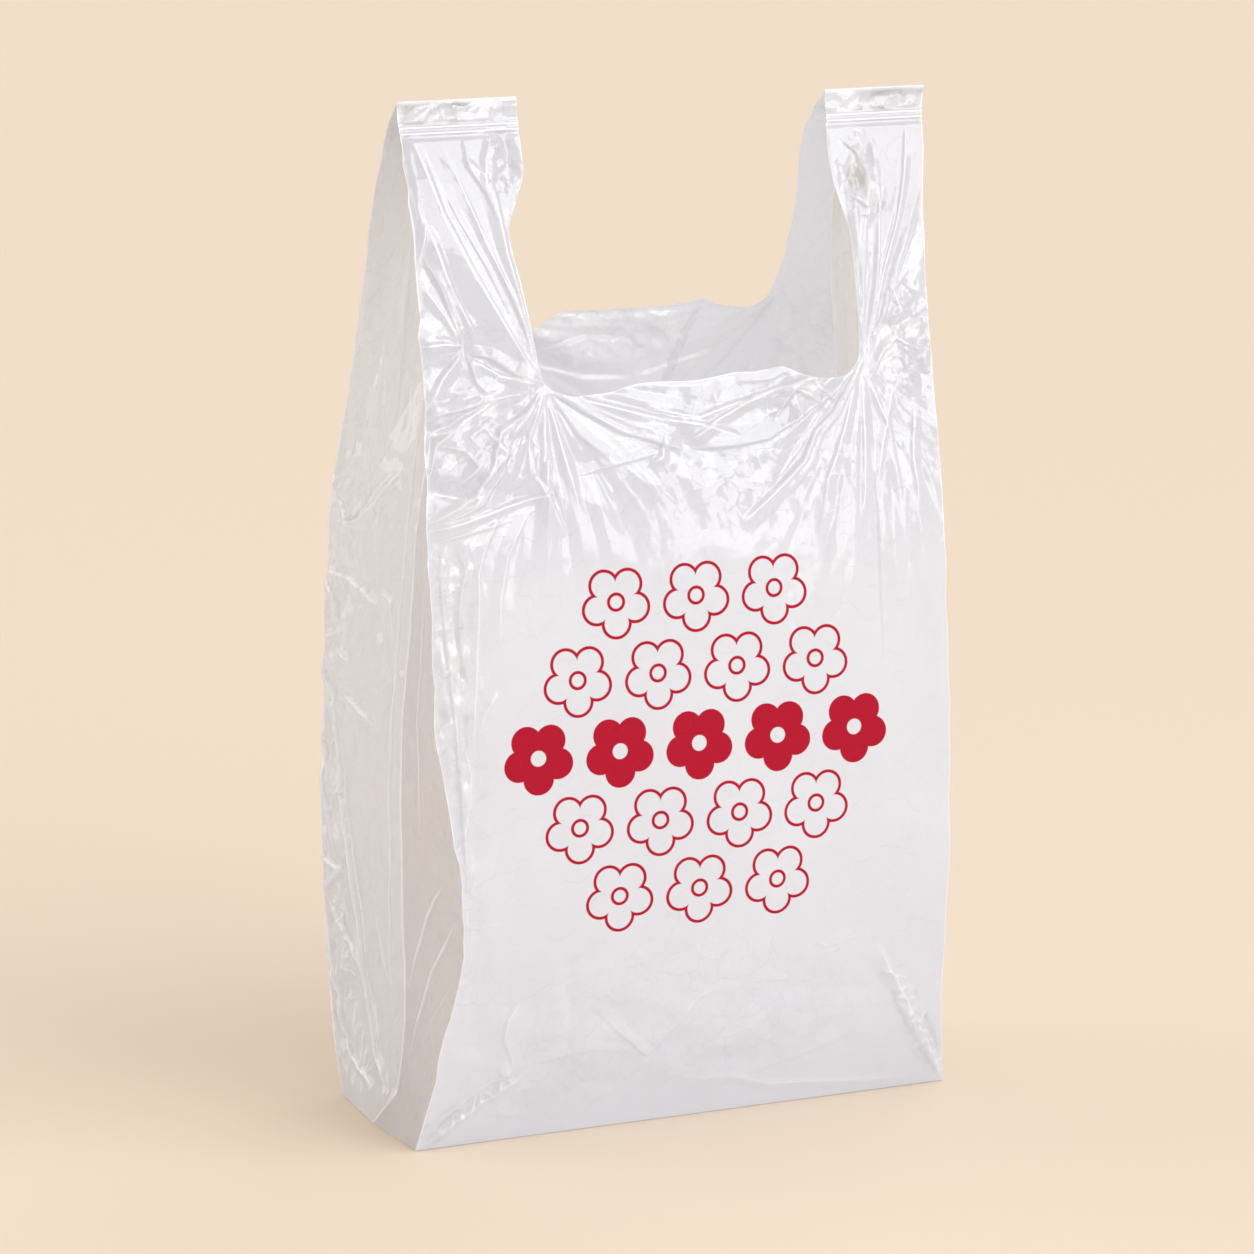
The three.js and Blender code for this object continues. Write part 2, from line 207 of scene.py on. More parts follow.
class Relief:
    """A panel's creases on an even grid over it.

    height is how far they stand out, loose how crushed the film is, from 0 to 1, and crest how far
    the nearest crest is, to either side of it. Weak crests are kept further off.
    """

    def __init__(self, low, high):
        self.low = low
        across = np.arange(low[0], high[0] + RELIEF_STEP, RELIEF_STEP)
        up = np.arange(low[1], high[1] + RELIEF_STEP, RELIEF_STEP)
        self.u, self.z = np.meshgrid(across, up)
        self.height = np.zeros_like(self.u)
        self.loose = np.zeros_like(self.u)
        self.crest = np.full_like(self.u, FAR)

    def blob(self, u, z, half_u, half_z):
        """A soft patch: 1 in its middle and 0 outside."""
        far = ((self.u - u) / half_u) ** 2 + ((self.z - z) / half_z) ** 2
        return fall(far, 0.15, 1)

    def crumple(self, size, rise, seed, where=1.0, stretch=1.0, turn=0.0):
        """Facets all over, or in the patches of where. They are stretched up along the turned axis."""
        c, s = math.cos(math.radians(turn)), math.sin(math.radians(turn))
        where = np.broadcast_to(where, self.height.shape)
        rows, columns = np.flatnonzero(where.any(1)), np.flatnonzero(where.any(0))
        part = (slice(rows[0], rows[-1] + 1), slice(columns[0], columns[-1] + 1))
        u, z = self.u[part], self.z[part]
        p = (u * c + z * s) / size
        q = (z * c - u * s) / (size * stretch)
        self.height[part] += rise * where[part] * loose_facets(p, q, seed)
        if size < FINE:
            self.loose[part] = np.maximum(self.loose[part], where[part] * min(1, 6 * rise / size))

    def rays(self, root, pitch, rise, reach, seed, where=1.0):
        """Pleats that run out of a root and widen, with pitch degrees between them."""
        du, dz = self.u - root[0], self.z - root[1]
        far = np.hypot(du, dz) + 1e-6
        p = np.degrees(np.arctan2(du, dz)) / pitch
        height = loose_facets(p, 0.9 * np.log(far), seed)
        taper = smooth(far, 0, reach / 2) * fall(far, reach / 2, reach)
        self.height += rise * where * height * taper

    def crease(self, points, rise, first_width, last_width, skew=0.0, ends=0.25):
        """A ridge along a line. Its half span runs from the first width to the last, and skew
        over 0 makes it wider on the left of the line."""
        points = np.array(points, float)
        margin = max(first_width, last_width) * (1 + abs(skew)) + RELIEF_STEP
        low, high = points.min(0) - margin - self.low, points.max(0) + margin - self.low
        first = np.maximum(np.floor(low / RELIEF_STEP).astype(int), 0)
        last = np.maximum(np.ceil(high / RELIEF_STEP).astype(int) + 1, 0)
        window = (slice(first[1], last[1]), slice(first[0], last[0]))
        u, z = self.u[window], self.z[window]
        runs = np.hypot(*(points[1:] - points[:-1]).T)
        nearest = np.full(u.shape, np.inf)
        share = np.zeros(u.shape)
        side = np.zeros(u.shape)
        walked = 0.0
        for start, end, run in zip(points[:-1], points[1:], runs):
            along = (end - start) / run
            t = np.clip((u - start[0]) * along[0] + (z - start[1]) * along[1], 0, run)
            du, dz = u - start[0] - t * along[0], z - start[1] - t * along[1]
            away = np.hypot(du, dz)
            closer = away < nearest
            nearest = np.where(closer, away, nearest)
            share = np.where(closer, (walked + t) / runs.sum(), share)
            side = np.where(closer, np.sign(along[0] * dz - along[1] * du), side)
            walked += run
        span = (first_width + (last_width - first_width) * share) * (1 + skew * side)
        taper = np.minimum(1, np.minimum(share, 1 - share) / ends) if ends else 1.0
        self.height[window] += rise * taper * np.maximum(0, 1 - nearest / span)
        strength = np.maximum(min(1, abs(rise) / CLEAR_RISE) * taper, FAINTEST)
        self.crest[window] = nearer(self.crest[window], nearest * side / strength)

    def rungs(self, start, end, half, count, rise):
        """Short creases across a pinched strip that runs from start to end, at uneven slants."""
        start, end = np.array(start, float), np.array(end, float)
        along = (end - start) / np.hypot(*(end - start))
        over = np.array([-along[1], along[0]])
        for k in range(count):
            uneven = (k * UNEVEN_STEP) % 1 - 0.5
            middle = start + (end - start) * (k + 0.5 + 0.5 * uneven) / count
            tip = over * half * (0.7 + 0.6 * abs(uneven)) + along * half * (0.5 + 1.6 * uneven)
            self.crease([middle - tip, middle + tip], rise, 1.6, 1.6, 0.5, 0)

    def at(self, grid, u, z):
        """One of the grids, read at any points of the panel."""
        rows, columns = grid.shape
        i = np.clip((u - self.low[0]) / RELIEF_STEP, 0, columns - 1.001)
        j = np.clip((z - self.low[1]) / RELIEF_STEP, 0, rows - 1.001)
        i0, j0 = i.astype(int), j.astype(int)
        a, b = i - i0, j - j0
        low = grid[j0, i0] * (1 - a) + grid[j0, i0 + 1] * a
        high = grid[j0 + 1, i0] * (1 - a) + grid[j0 + 1, i0 + 1] * a
        return low * (1 - b) + high * b


# The roots of the handles, where the pull of the film gathers
LEFT_ROOT = (-77, 385)
RIGHT_ROOT = (96, 385)


def front_relief():
    r = Relief((-160, 0), (160, TOP))
    body = smooth(r.z, 0, 30)

    # broad swells and flats of the whole panel, and its fine upright streaks
    r.crumple(70, 1.1, 3, body * fall(r.z, 330, 400), 1.6, 8)
    r.crumple(26, 0.4, 5, body, 1.8, 6)
    r.crumple(11, 0.12, 7, body, 2.6, -10)
    r.crumple(4.5, 0.05, 9, body, 3.0, 6)

    # loose crumples beside the left edge, from the shoulder to the base
    beside = fall(r.u, -133, -112) * smooth(r.z, 50, 100) * fall(r.z, 300, 330)
    r.crumple(15, 1.6, 11, beside, 2.4, 4)
    r.crumple(6, 0.5, 13, beside, 1.6, -6)
    strip = fall(r.u, -134, -126) * smooth(r.z, 60, 110) * fall(r.z, 290, 325)
    r.crumple(5.5, 0.9, 15, strip, 1.5, 40)
    r.crumple(2.8, 0.25, 16, strip, 1.3, 10)
    edge_fold = [
        (-137, 330), (-140, 300), (-139, 265), (-136, 225), (-133, 185), (-131, 150), (-130, 100),
    ]
    r.crease(edge_fold, 1.6, 3, 3, 0.6)
    long_fold = [(-105, 329), (-117, 309), (-121, 298), (-122, 276), (-125, 241), (-128, 205)]
    r.crease(long_fold, 1.7, 4, 6, -0.7, 0.2)
    r.crease([(-92, 326), (-105, 305), (-110, 285), (-112, 262)], 1.3, 3, 4, -0.6)
    r.crease([(-132, 317), (-127, 300), (-130, 288), (-132, 277), (-131, 256), (-127, 240)], 1.2, 3, 3, 0.4)
    r.crease([(-144, 298), (-130, 297), (-124, 303)], 0.8, 2.5, 2)
    r.crease([(-143, 272), (-137, 270)], 0.8, 2.5, 2)
    r.crease([(-144, 251), (-134, 252)], 0.9, 2.5, 2)
    r.crease([(-143, 225), (-134, 227)], 0.9, 2.5, 2)
    r.crease([(-133, 218), (-128, 199), (-129, 184), (-133, 162)], 1.2, 3, 3, -0.4)
    r.crease([(-125, 219), (-118, 233), (-113, 239)], 0.9, 2, 3)
    r.crease([(-133, 121), (-112, 122)], 0.6, 2, 3)

    # the crumpled field between the left edge and the left root
    field = r.blob(-116, 366, 50, 58) * fall(r.u, -86, -76)
    r.crumple(17, 3.0, 17, field, 1.7, -52)
    r.crumple(10, 1.1, 19, field, 1.8, -66)

    # the left handle: a star where the film is pinched, and long pulls down to the root
    r.crease([(-116, 405), (-127, 407), (-141, 406)], 1.8, 1, 5, 0.5)
    r.crease([(-116, 404), (-130, 390), (-145, 368)], 2.6, 2, 8, 0.6, 0.15)
    r.crease([(-116, 405), (-112, 413), (-121, 433), (-130, 464)], 2.6, 2, 7, 0.5)
    r.crease([(-115, 402), (-103, 399), (-92, 391), (-78, 386)], 2.4, 2, 5, 0.6, 0.15)
    r.crease([(-114, 399), (-99, 390), (-80, 385)], 1.6, 1.5, 4, -0.5, 0.15)
    r.crease([(-116, 406), (-120, 414), (-126, 434), (-134, 450)], 2.2, 2, 5, -0.5)
    r.crease([(-115, 402), (-112, 388), (-104, 380)], 1.8, 1, 6, 0.5)
    r.crease([(-118, 404), (-124, 418), (-136, 436)], 1.3, 1, 5)
    r.crease([(-116, 402), (-116, 408)], -2.6, 5, 5, 0, 0)
    r.crease([(-136, 506), (-135, 484), (-134, 467), (-130, 464)], 1.2, 3, 2, 0.5)
    r.crease([(-130, 464), (-135, 448), (-139, 435)], 1.8, 2, 5, -0.6)
    main_pull = [(-130, 505), (-121, 468), (-109, 441), (-97, 418), (-87, 399), LEFT_ROOT]
    r.crease(main_pull, 2.6, 16, 2, -0.8, 0.15)
    pulls = (
        ([(-128, 506), (-121, 470), (-109, 444), (-97, 420), (-87, 400)], 0.8, 2.2, 0.5),
        ([(-125, 505), (-118, 471), (-106, 445), (-94, 420), (-85, 400)], 0.8, 2.2, -0.4),
        ([(-127, 503), (-113, 466), (-101, 442), (-91, 417), (-80, 393)], 0.9, 2.4, 0.4),
        ([(-117, 505), (-110, 485), (-100, 452), (-89, 427), (-82, 401)], 1.0, 3, -0.5),
    )
    for line, rise, width, skew in pulls:
        r.crease([*line, LEFT_ROOT], rise, width, 1, skew)
    r.crease([(-108, 478), (-98, 449), (-88, 422), (-79, 394)], 0.9, 3, 1, 0.4)
    r.crease([(-94, 492), (-92, 473), (-90, 448), (-84, 419), (-79, 396)], 2.0, 5, 1.2, -0.6)
    r.crease([(-103, 502), (-103, 489), (-96, 477), (-92, 462)], 1.8, 4, 3, 0.6)
    r.crease([(-106, 494), (-97, 486), (-94, 478)], 1.0, 2, 3)
    r.crease([(-88, 505), (-94, 492), (-96, 480)], 1.8, 4, 5, 0.4)
    r.crease([(-79, 470), (-84, 440), (-81, 410), (-77, 392)], 0.8, 2, 1)
    bunch = r.blob(-82, 488, 15, 24)
    r.crumple(9, 2.2, 23, bunch, 1.6, 20)
    r.crumple(3.8, 0.6, 29, bunch, 1.2, 50)
    r.crumple(12, 0.5, 31, r.blob(-105, 480, 40, 40), 3.5, 25)

    # below the left root: a fan of fine pleats, a slanted pull and a pinched ridge
    below = smooth(LEFT_ROOT[1] + 2 - r.z, 0, 8)
    r.rays(LEFT_ROOT, 7, 1.8, 110, 37, below * (1 - smooth(r.u, -70, 10) * 0.6))
    slanted_pull = [(-79, 383), (-89, 372), (-103, 364), (-109, 349), (-120, 335), (-146, 322)]
    r.crease(slanted_pull, 3.2, 3, 9, 0.7, 0.12)
    r.crease([(-82, 378), (-100, 357), (-104, 345), (-118, 331), (-140, 322)], 1.6, 2, 5, -0.6, 0.15)
    r.crease([(-78, 334), (-92, 331), (-118, 325), (-146, 319)], 1.8, 1.5, 4, 0.4, 0.15)
    r.crease([(-100, 322), (-122, 318), (-143, 314)], 1.2, 1.5, 4, -0.4, 0.2)
    r.crease([(-143, 373), (-121, 376), (-88, 382)], 1.8, 5, 2.5, 0.5)
    r.crease([(-143, 363), (-126, 366), (-120, 371)], 1.6, 5, 3, -0.5)
    r.crease([(-98, 381), (-120, 370), (-136, 360), (-143, 340)], 2.4, 3, 8, 0.6)
    r.crease([(-136, 360), (-123, 357), (-117, 349), (-128, 340)], 2.2, 5, 5, 0.5)
    r.crease([(-112, 369), (-101, 354), (-116, 340)], 2.0, 3, 6, -0.5)
    r.crease([(-145, 338), (-124, 333), (-116, 336)], -1.6, 5, 4, 0.5)
    r.crease([(-88, 355), (-87, 342), (-81, 330), (-74, 312)], 1.7, 4, 5, -0.7)
    r.crease([(-80, 342), (-75, 330), (-73, 316)], 1.2, 3, 4, 0.6)
    r.crease([(-77, 383), (-88, 362), (-90, 342)], 1.1, 1, 4, 0.4)
    r.crease([(-77, 383), (-80, 359), (-77, 335)], 0.9, 1, 4)
    r.crease([(-77, 383), (-71, 350), (-66, 325)], 0.9, 1, 4)
    r.crease([(-76, 383), (-62, 360), (-44, 345)], 1.2, 1, 4, 0.5)

    # swags under the rim, between the roots
    r.crease([(-74, 383), (-56, 376), (-18, 365), (3, 361), (26, 353)], 2.4, 2, 8, -0.7, 0.1)
    r.crease([(-75, 382), (-58, 371), (-38, 360), (-17, 353), (-8, 350)], 2.2, 2, 6, 0.6, 0.1)
    r.crease([(-17, 357), (-20, 347), (-26, 344)], 2.0, 3, 3, 0.4)
    r.crease([(-8, 350), (23, 350), (39, 352), (56, 360), (81, 374), (94, 382)], 2.4, 6, 2, 0.7, 0.15)
    r.crease([(-8, 352), (12, 362), (34, 372), (62, 378), (88, 382)], 2.0, 4, 2, -0.6, 0.15)
    r.crease([(-27, 371), (3, 364), (25, 370), (44, 372)], 1.6, 5, 3, -0.5, 0.2)
    r.crease([(25, 380), (44, 380), (52, 383), (60, 380)], 1.4, 4, 3, 0.5)
    r.crease([(43, 359), (56, 375), (73, 366)], 2.6, 4, 4, 0.6)
    r.crease([(56, 375), (58, 362), (52, 355)], 1.6, 3, 3, -0.5)
    r.crease([(66, 378), (78, 368), (84, 376)], 1.6, 3, 3, 0.4)
    r.crease([(-68, 340), (-45, 345), (-27, 348), (-14, 352)], 0.8, 2.5, 3, 0.5)
    r.crumple(10, 1.5, 41, r.blob(60, 369, 30, 13), 1.3, 70)
    r.crumple(11, 1.1, 43, r.blob(-8, 360, 30, 16), 1.3, 60)
    r.crumple(20, 0.9, 47, r.blob(20, 350, 90, 42), 1.6, 55)
    r.crumple(8, 0.35, 49, r.blob(20, 345, 90, 46), 1.6, 35)

    # below the right root: one strong slanted crease with weaker ones beside it
    r.crease([(96, 385), (77, 361), (66, 353), (57, 339), (40, 326), (19, 311)], 2.2, 1.5, 5, 0.6, 0.12)
    r.crease([(97, 385), (80, 361), (70, 351), (60, 336), (44, 322)], 1.0, 1.2, 2.4, -0.4, 0.12)
    r.crease([(90, 381), (79, 372), (52, 354), (44, 349)], 1.6, 2, 4, -0.5)
    r.crease([(94, 381), (82, 352), (70, 330), (62, 300)], 1.0, 2, 5, 0.5)
    r.crease([(96, 380), (93, 345), (88, 307)], 1.0, 2, 5, 0.5)
    r.crease([(98, 382), (108, 350), (110, 310)], 0.9, 2, 5, -0.5)
    r.crease([(113, 372), (103, 345), (97, 323)], 0.9, 3, 3)
    r.crease([(124, 365), (119, 338), (120, 310)], 1.1, 3, 3, 0.4)
    right_below = smooth(RIGHT_ROOT[1] - r.z, 0, 8) * smooth(r.u, 30, 60)
    r.rays(RIGHT_ROOT, 7, 1.3, 170, 53, right_below)

    # the right handle: pleats that fan up from the root, and a pinched pocket beside the edge
    above = smooth(r.z, 384, 396)
    r.rays(RIGHT_ROOT, 6, 1.4, 140, 59, above * smooth(r.u, 90, 98))
    r.crease([(98, 387), (101, 425), (105, 448), (110, 475)], 1.0, 1, 2.4, 0.5)
    r.crease([(99, 387), (109, 425), (116, 465), (118, 492), (115, 504)], 1.5, 1, 3.6, 0.6)
    r.crease([(99, 386), (114, 432), (124, 455), (132, 478), (140, 505)], 1.5, 1, 3, -0.6)
    r.crease([(100, 386), (119, 424), (131, 446), (140, 452)], 1.2, 1, 4, 0.6)
    r.crease([(97, 388), (98, 420), (97.5, 450)], 0.7, 1, 1.6)
    pocket = r.blob(108, 480, 15, 28)
    r.crumple(8.5, 2.0, 61, pocket, 1.8, -12)
    r.crease([(100, 498), (108, 490), (111, 480), (108, 462)], 2.2, 3, 3, 0.6)
    r.crease([(104, 488), (106, 477), (105, 466)], -3.4, 6, 6, 0, 0.4)
    r.crease([(98, 470), (104, 467), (109, 462), (107, 452)], 1.4, 3, 3, 0.4)
    edge_patch = r.blob(121, 396, 20, 34)
    r.crumple(9, 1.8, 67, edge_patch, 1.4, 20)
    r.crumple(4, 0.6, 71, edge_patch, 1.2, 60)
    r.crease([(112, 396), (121, 408), (118, 420), (128, 430)], 1.6, 2.4, 2.4, 0.4)
    r.crease([(100, 376), (109, 390), (117, 395), (130, 388)], 1.8, 2.4, 2.8, 0.5)

    # the folded tops: short slanted creases above the crimp
    tops = smooth(r.z, CRIMP + 2, CRIMP + 5) * fall(r.z, TOP - 5, TOP - 1)
    r.crumple(9, 1.7, 73, tops, 2.6, -66)
    r.crumple(4, 0.4, 74, tops, 1.8, -60)

    # creases above the base, where the panel tilts under
    r.crease([(-147, 2), (-134, 20), (-119, 34), (-101, 43)], 2.4, 1.5, 6, 0.6, 0.12)
    r.crease([(-143, 3), (-131, 14), (-110, 30), (-96, 38)], 1.8, 1.5, 4, -0.6, 0.12)
    r.crease([(-101, 43), (-83, 46), (-62, 50), (-31, 43)], 1.2, 3, 3, 0.4)
    r.crease([(-99, 82), (-108, 70), (-109, 60), (-101, 42)], 1.4, 3, 3, 0.5)
    r.crease([(-65, 77), (-48, 58), (-31, 42), (-5, 71), (12, 76)], 1.6, 3, 4, 0.5)
    r.crease([(9, 17), (31, 22), (69, 33), (104, 45)], 0.9, 3, 4, 0.6)
    r.crease([(-8, 24), (20, 22), (43, 14), (90, 9), (130, 5)], 1.2, 3, 4, -0.6)
    r.crease([(50, 97), (65, 91), (88, 95)], 0.8, 3, 4, 0.5)
    r.crease([(147, 2), (128, 32), (113, 56), (101, 76), (95, 88)], 2.4, 1.5, 5, 0.6, 0.12)
    r.crease([(145, 3), (131, 22), (118, 40), (108, 56)], 1.6, 1.5, 3.4, -0.6, 0.12)
    off_line = np.abs((r.u - 121) * 0.87 + (r.z - 42) * 0.5)
    right_ribbon = r.blob(121, 42, 30, 44) * fall(off_line, 4, 9)
    r.crumple(5, 0.5, 79, right_ribbon, 1.3, 30)
    r.rungs((140, 10), (104, 72), 4, 9, 1.3)
    off_line = np.abs((r.u + 124) * 0.67 - (r.z - 24) * 0.74)
    left_ribbon = r.blob(-124, 24, 32, 32) * fall(off_line, 4, 9)
    r.crumple(5, 0.5, 83, left_ribbon, 1.3, -40)
    r.rungs((-138, 9), (-102, 41), 3.6, 8, 1.5)
    r.crumple(7, 0.4, 89, r.blob(-80, 26, 62, 22), 1.3, 20)
    r.crumple(15, 1.5, 97, r.blob(-90, 66, 62, 46), 1.2, 30)
    r.crumple(22, 1.4, 101, r.blob(10, 52, 130, 50), 1.4, 70)
    r.crumple(7, 0.35, 102, r.blob(-20, 60, 130, 60), 1.3, 60)
    return r


def back_relief():
    r = Relief((-160, 0), (160, TOP))
    body = smooth(r.z, 0, 30)
    left, right = (LEFT_ROOT[0], BACK_RIM + 4), (RIGHT_ROOT[0], BACK_RIM + 4)
    r.crumple(70, 1.2, 103, body, 1.5, -8)
    r.crumple(24, 0.6, 105, body, 1.7, 8)
    r.crumple(10, 0.16, 107, body, 2.0, 10)
    edges = np.maximum(fall(r.u, -140, -110), smooth(r.u, 105, 138))
    r.crumple(12, 1.3, 109, edges * smooth(r.z, 20, 70), 2.0, 3)
    r.crumple(5, 0.4, 110, edges * smooth(r.z, 20, 70), 1.4, 20)
    r.crumple(15, 2.2, 111, r.blob(-112, 385, 44, 50), 1.5, 40)
    r.crumple(15, 2.0, 113, r.blob(118, 385, 34, 50), 1.5, -30)
    r.crumple(6, 0.6, 114, np.maximum(r.blob(-112, 385, 44, 50), r.blob(118, 385, 34, 50)), 1.5, 10)
    rim_patch = np.maximum(r.blob(-4, BACK_RIM - 12, 60, 22), r.blob(-50, BACK_RIM - 14, 30, 20))
    r.crumple(12, 2.2, 115, rim_patch, 1.3, 70)
    r.crumple(4.5, 0.7, 117, rim_patch, 1.2, 50)
    for root, seed in ((left, 119), (right, 121)):
        under = smooth(root[1] - r.z, 0, 8)
        r.rays(root, 7, 2.0, 130, seed, under)
        r.rays(root, 6, 1.5, 130, seed + 40, 1 - under)
    r.crease([left, (-50, 380), (-10, 368), (20, 366)], 2.4, 2, 7, 0.6, 0.1)
    r.crease([(20, 366), (60, 378), right], 2.2, 6, 2, 0.6, 0.1)
    r.crease([(53, 404), (44, 386), (38, 366), (36, 330)], 3.0, 2, 7, -0.7, 0.15)
    r.crease([(-38, 384), (-10, 390), (14, 386)], 2.0, 3, 4, 0.5)
    r.crease([right, (70, 372), (40, 344)], 2.2, 2, 6, 0.6, 0.12)
    r.crease([left, (-104, 352), (-140, 330)], 2.8, 2, 8, 0.6, 0.12)
    for side in (-1, 1):
        r.crease([(side * 147, 2), (side * 126, 34), (side * 100, 66)], 2.4, 2, 6, 0.5, 0.12)
    r.crease([(-90, 40), (-30, 26), (40, 30), (100, 24)], 1.4, 4, 5, 0.5)
    tops = smooth(r.z, CRIMP + 2, CRIMP + 5) * fall(r.z, TOP - 5, TOP - 1)
    r.crumple(9, 1.6, 123, tops, 2.6, 66)
    r.crumple(18, 0.8, 125, body * fall(r.z, 60, 120), 1.2, 60)
    return r


def gusset_relief(seed):
    """A gusset's film lies flat from 0 at its front edge to its whole width at the back edge."""
    r = Relief((0, 0), (GUSSET_FILM, TOP))
    body = smooth(r.z, 0, 20)
    calm = (1 - 0.5 * smooth(r.z, 420, 470)) * (0.4 + 0.6 * smooth(r.u, 70, 95))
    r.crumple(60, 2.2, seed, body * calm, 2.2, 0)
    r.crumple(22, 1.3, seed + 2, body * calm, 2.4, 5)
    r.crumple(9, 0.5, seed + 4, body * calm, 2.2, -12)
    r.crumple(4, 0.07, seed + 5, body, 2.0, 8)
    r.crumple(11, 0.5, seed + 14, smooth(r.z, 370, 410), 2.4, -20)
    near_back = smooth(r.u, 125, 150)
    r.crumple(11, 1.6, seed + 6, near_back * body * fall(r.z, 330, 380), 1.6, 8)
    r.crumple(4.5, 0.5, seed + 8, near_back * body * fall(r.z, 170, 240), 1.3, 20)
    patch = r.blob(130, 316, 44, 22)
    r.crumple(8, 1.2, seed + 10, patch, 1.4, 60)
    r.crumple(3.6, 0.35, seed + 11, patch, 1.2, 20)
    r.crumple(14, 1.3, seed + 12, r.blob(140, 245, 44, 60), 1.4, 30)

    # a strong upright crease that starts at the back edge and ends at the floor, with one beside it
    second_fold = [
        (165, 236), (154, 214), (144, 181), (139, 150), (133, 122), (128, 96), (127, 65), (120, 47),
        (112, 29), (94, 10),
    ]
    r.crease(second_fold, 2.4, 4, 4, 0.6, 0.1)
    r.crease([(u - 4, z) for u, z in second_fold[1:]], 1.2, 2, 2, -0.4, 0.1)

    # short creases across the pinched strip beside the back edge

    r.rungs((147, 178), (137, 132), 4, 6, 1.2)
    r.rungs((150, 100), (146, 60), 5, 6, 1.4)
    r.rungs((146, 52), (120, 14), 4, 6, 1.4)

    # pinches beside the back edge
    r.crease([(163, 215), (160, 190), (158, 165), (156, 146), (146, 118)], 1.6, 3, 3, 0.5)
    r.crease([(165, 123), (146, 118), (165, 101)], 2.4, 3, 3, 0.5, 0.1)
    r.crease([(164, 102), (141, 82), (127, 65)], 2.0, 3, 3, 0.6)
    r.crease([(146, 118), (132, 82), (127, 65)], 1.8, 3, 2, -0.6)
    r.crease([(164, 88), (161, 69), (156, 52), (152, 36), (142, 22), (115, 11)], 2.2, 4, 3, 0.5, 0.15)
    r.crease([(165, 276), (155, 273), (141, 272), (114, 263)], 1.8, 3, 2, 0.6)
    r.crease([(164, 316), (146, 301), (140, 290)], 1.6, 3, 3, 0.5)
    r.crease([(165, 237), (146, 245), (150, 258)], 1.5, 3, 3, -0.5)
    r.crease([(165, 276), (150, 256), (144, 244)], 1.6, 3, 4, 0.6)
    r.crease([(147, 236), (135, 229)], 1.4, 3, 2)
    r.crease([(144, 213), (126, 208), (108, 201)], 1.4, 3, 2, 0.5)
    r.crease([(115, 271), (100, 267), (98, 250)], 1.0, 2, 2, 0.5)
    r.crease([(163, 300), (140, 303), (123, 313), (100, 336)], 2.0, 3, 4, 0.6)
    r.crease([(142, 303), (117, 324), (101, 337)], 1.4, 2, 3, -0.5)

    # long soft pleats either side of the middle fold
    beside_fold = [
        (88, 470), (92, 380), (90, 300), (92, 200), (94, 120), (96, 73), (94, 50), (88, 28),
    ]
    r.crease(beside_fold, 1.0, 2, 2, 0.5)
    r.crease([(111, 105), (104, 85), (97, 66)], 1.0, 2, 2, 0.5)
    r.crease([(24, 140), (47, 117), (76, 72)], 1.4, 3, 4, 0.6)
    r.crease([(13, 122), (40, 88), (49, 66), (66, 40)], 1.6, 3, 4, 0.6)
    r.crease([(10, 90), (34, 56), (62, 22)], 1.4, 3, 5, -0.6)
    r.crease([(30, 300), (44, 220), (52, 150)], 1.0, 3, 5, 0.6)
    r.crease([(128, 470), (120, 400), (116, 350)], 1.0, 3, 5, 0.6)
    r.crease([(60, 470), (48, 400), (40, 330)], 1.0, 3, 5, -0.6)
    return r


# The mouth, cut out between the handles: its outline in the front and in the back film. Its
# first and last stretch lie above the top fold. MOUTH_REACH takes in both handles' inner edges.
MOUTH_MIDDLE = 12
MOUTH_REACH = 110
ROUND_STEPS = 4
FRONT_MOUTH = [
    (-72, 560), (-72, 521), (-72.5, 508), (-74.6, 490), (-77.4, 480), (-82.5, 470), (-87, 460),
    (-87, 450), (-84.5, 435), (-81, 410), (-79, 394), (-77.5, 386), (-74, 382.2), (-68, 379.6),
    (-61, 378), (-43, 378.8), (-24, 382.2), (4, 381.6), (25, 384), (37, 383.8), (50, 385.3),
    (55, 384.2), (61, 381.3), (69, 379), (77, 378), (84, 378.3), (89, 380), (93, 383.5),
    (95.5, 388), (96.6, 400), (97.2, 430), (97.5, 450), (95.6, 460), (92.6, 474), (92.3, 488),
    (94.2, 500), (96.4, 510), (97, 521), (97, 560),
]
BACK_MOUTH = [
    (-72, 560), (-72, 521), (-73, 506), (-76, 488), (-84, 470), (-87.5, 456), (-86, 440),
    (-82, 420), (-78, 408), (-72, 400), (-62, 396.4), (-44, 395.4), (-37.6, 396.7), (-31.8, 400),
    (-25, 403.2), (-4, 402.8), (24, 403), (40, 404.2), (52, 406), (58, 403.4), (64, 401.6),
    (72, 400.3), (78, 399.8), (83, 401.2), (87, 404), (90, 409), (93, 418), (95.5, 430), (97, 450),
    (97.3, 460), (95.8, 480), (94.6, 490), (94.4, 500), (95.6, 510), (97, 521), (97, 560),
]


def rounded(outline):
    """The same outline with its corners eased by a curve through its points."""
    points = np.array(outline, float)
    before, after = points[:-2], points[2:]
    slopes = np.vstack([points[1] - points[0], (after - before) / 2, points[-1] - points[-2]])
    curve = [points[:1]]
    for t in np.arange(1, ROUND_STEPS + 1) / ROUND_STEPS:
        low = (1 + 2 * t) * points[:-1] + t * slopes[:-1]
        high = (3 - 2 * t) * points[1:] - (1 - t) * slopes[1:]
        curve.append(low * (1 - t) ** 2 + high * t * t)
    between = np.stack(curve[1:], 1).reshape(-1, 2)
    return np.vstack([points[:1], between])


def inside(outline, x, z):
    """Which points lie inside a closed outline."""
    hit = np.zeros(x.shape, bool)
    for (xa, za), (xb, zb) in zip(outline, np.roll(outline, -1, 0)):
        if za != zb:
            hit ^= ((za > z) != (zb > z)) & (x < (xb - xa) * (z - za) / (zb - za) + xa)
    return hit


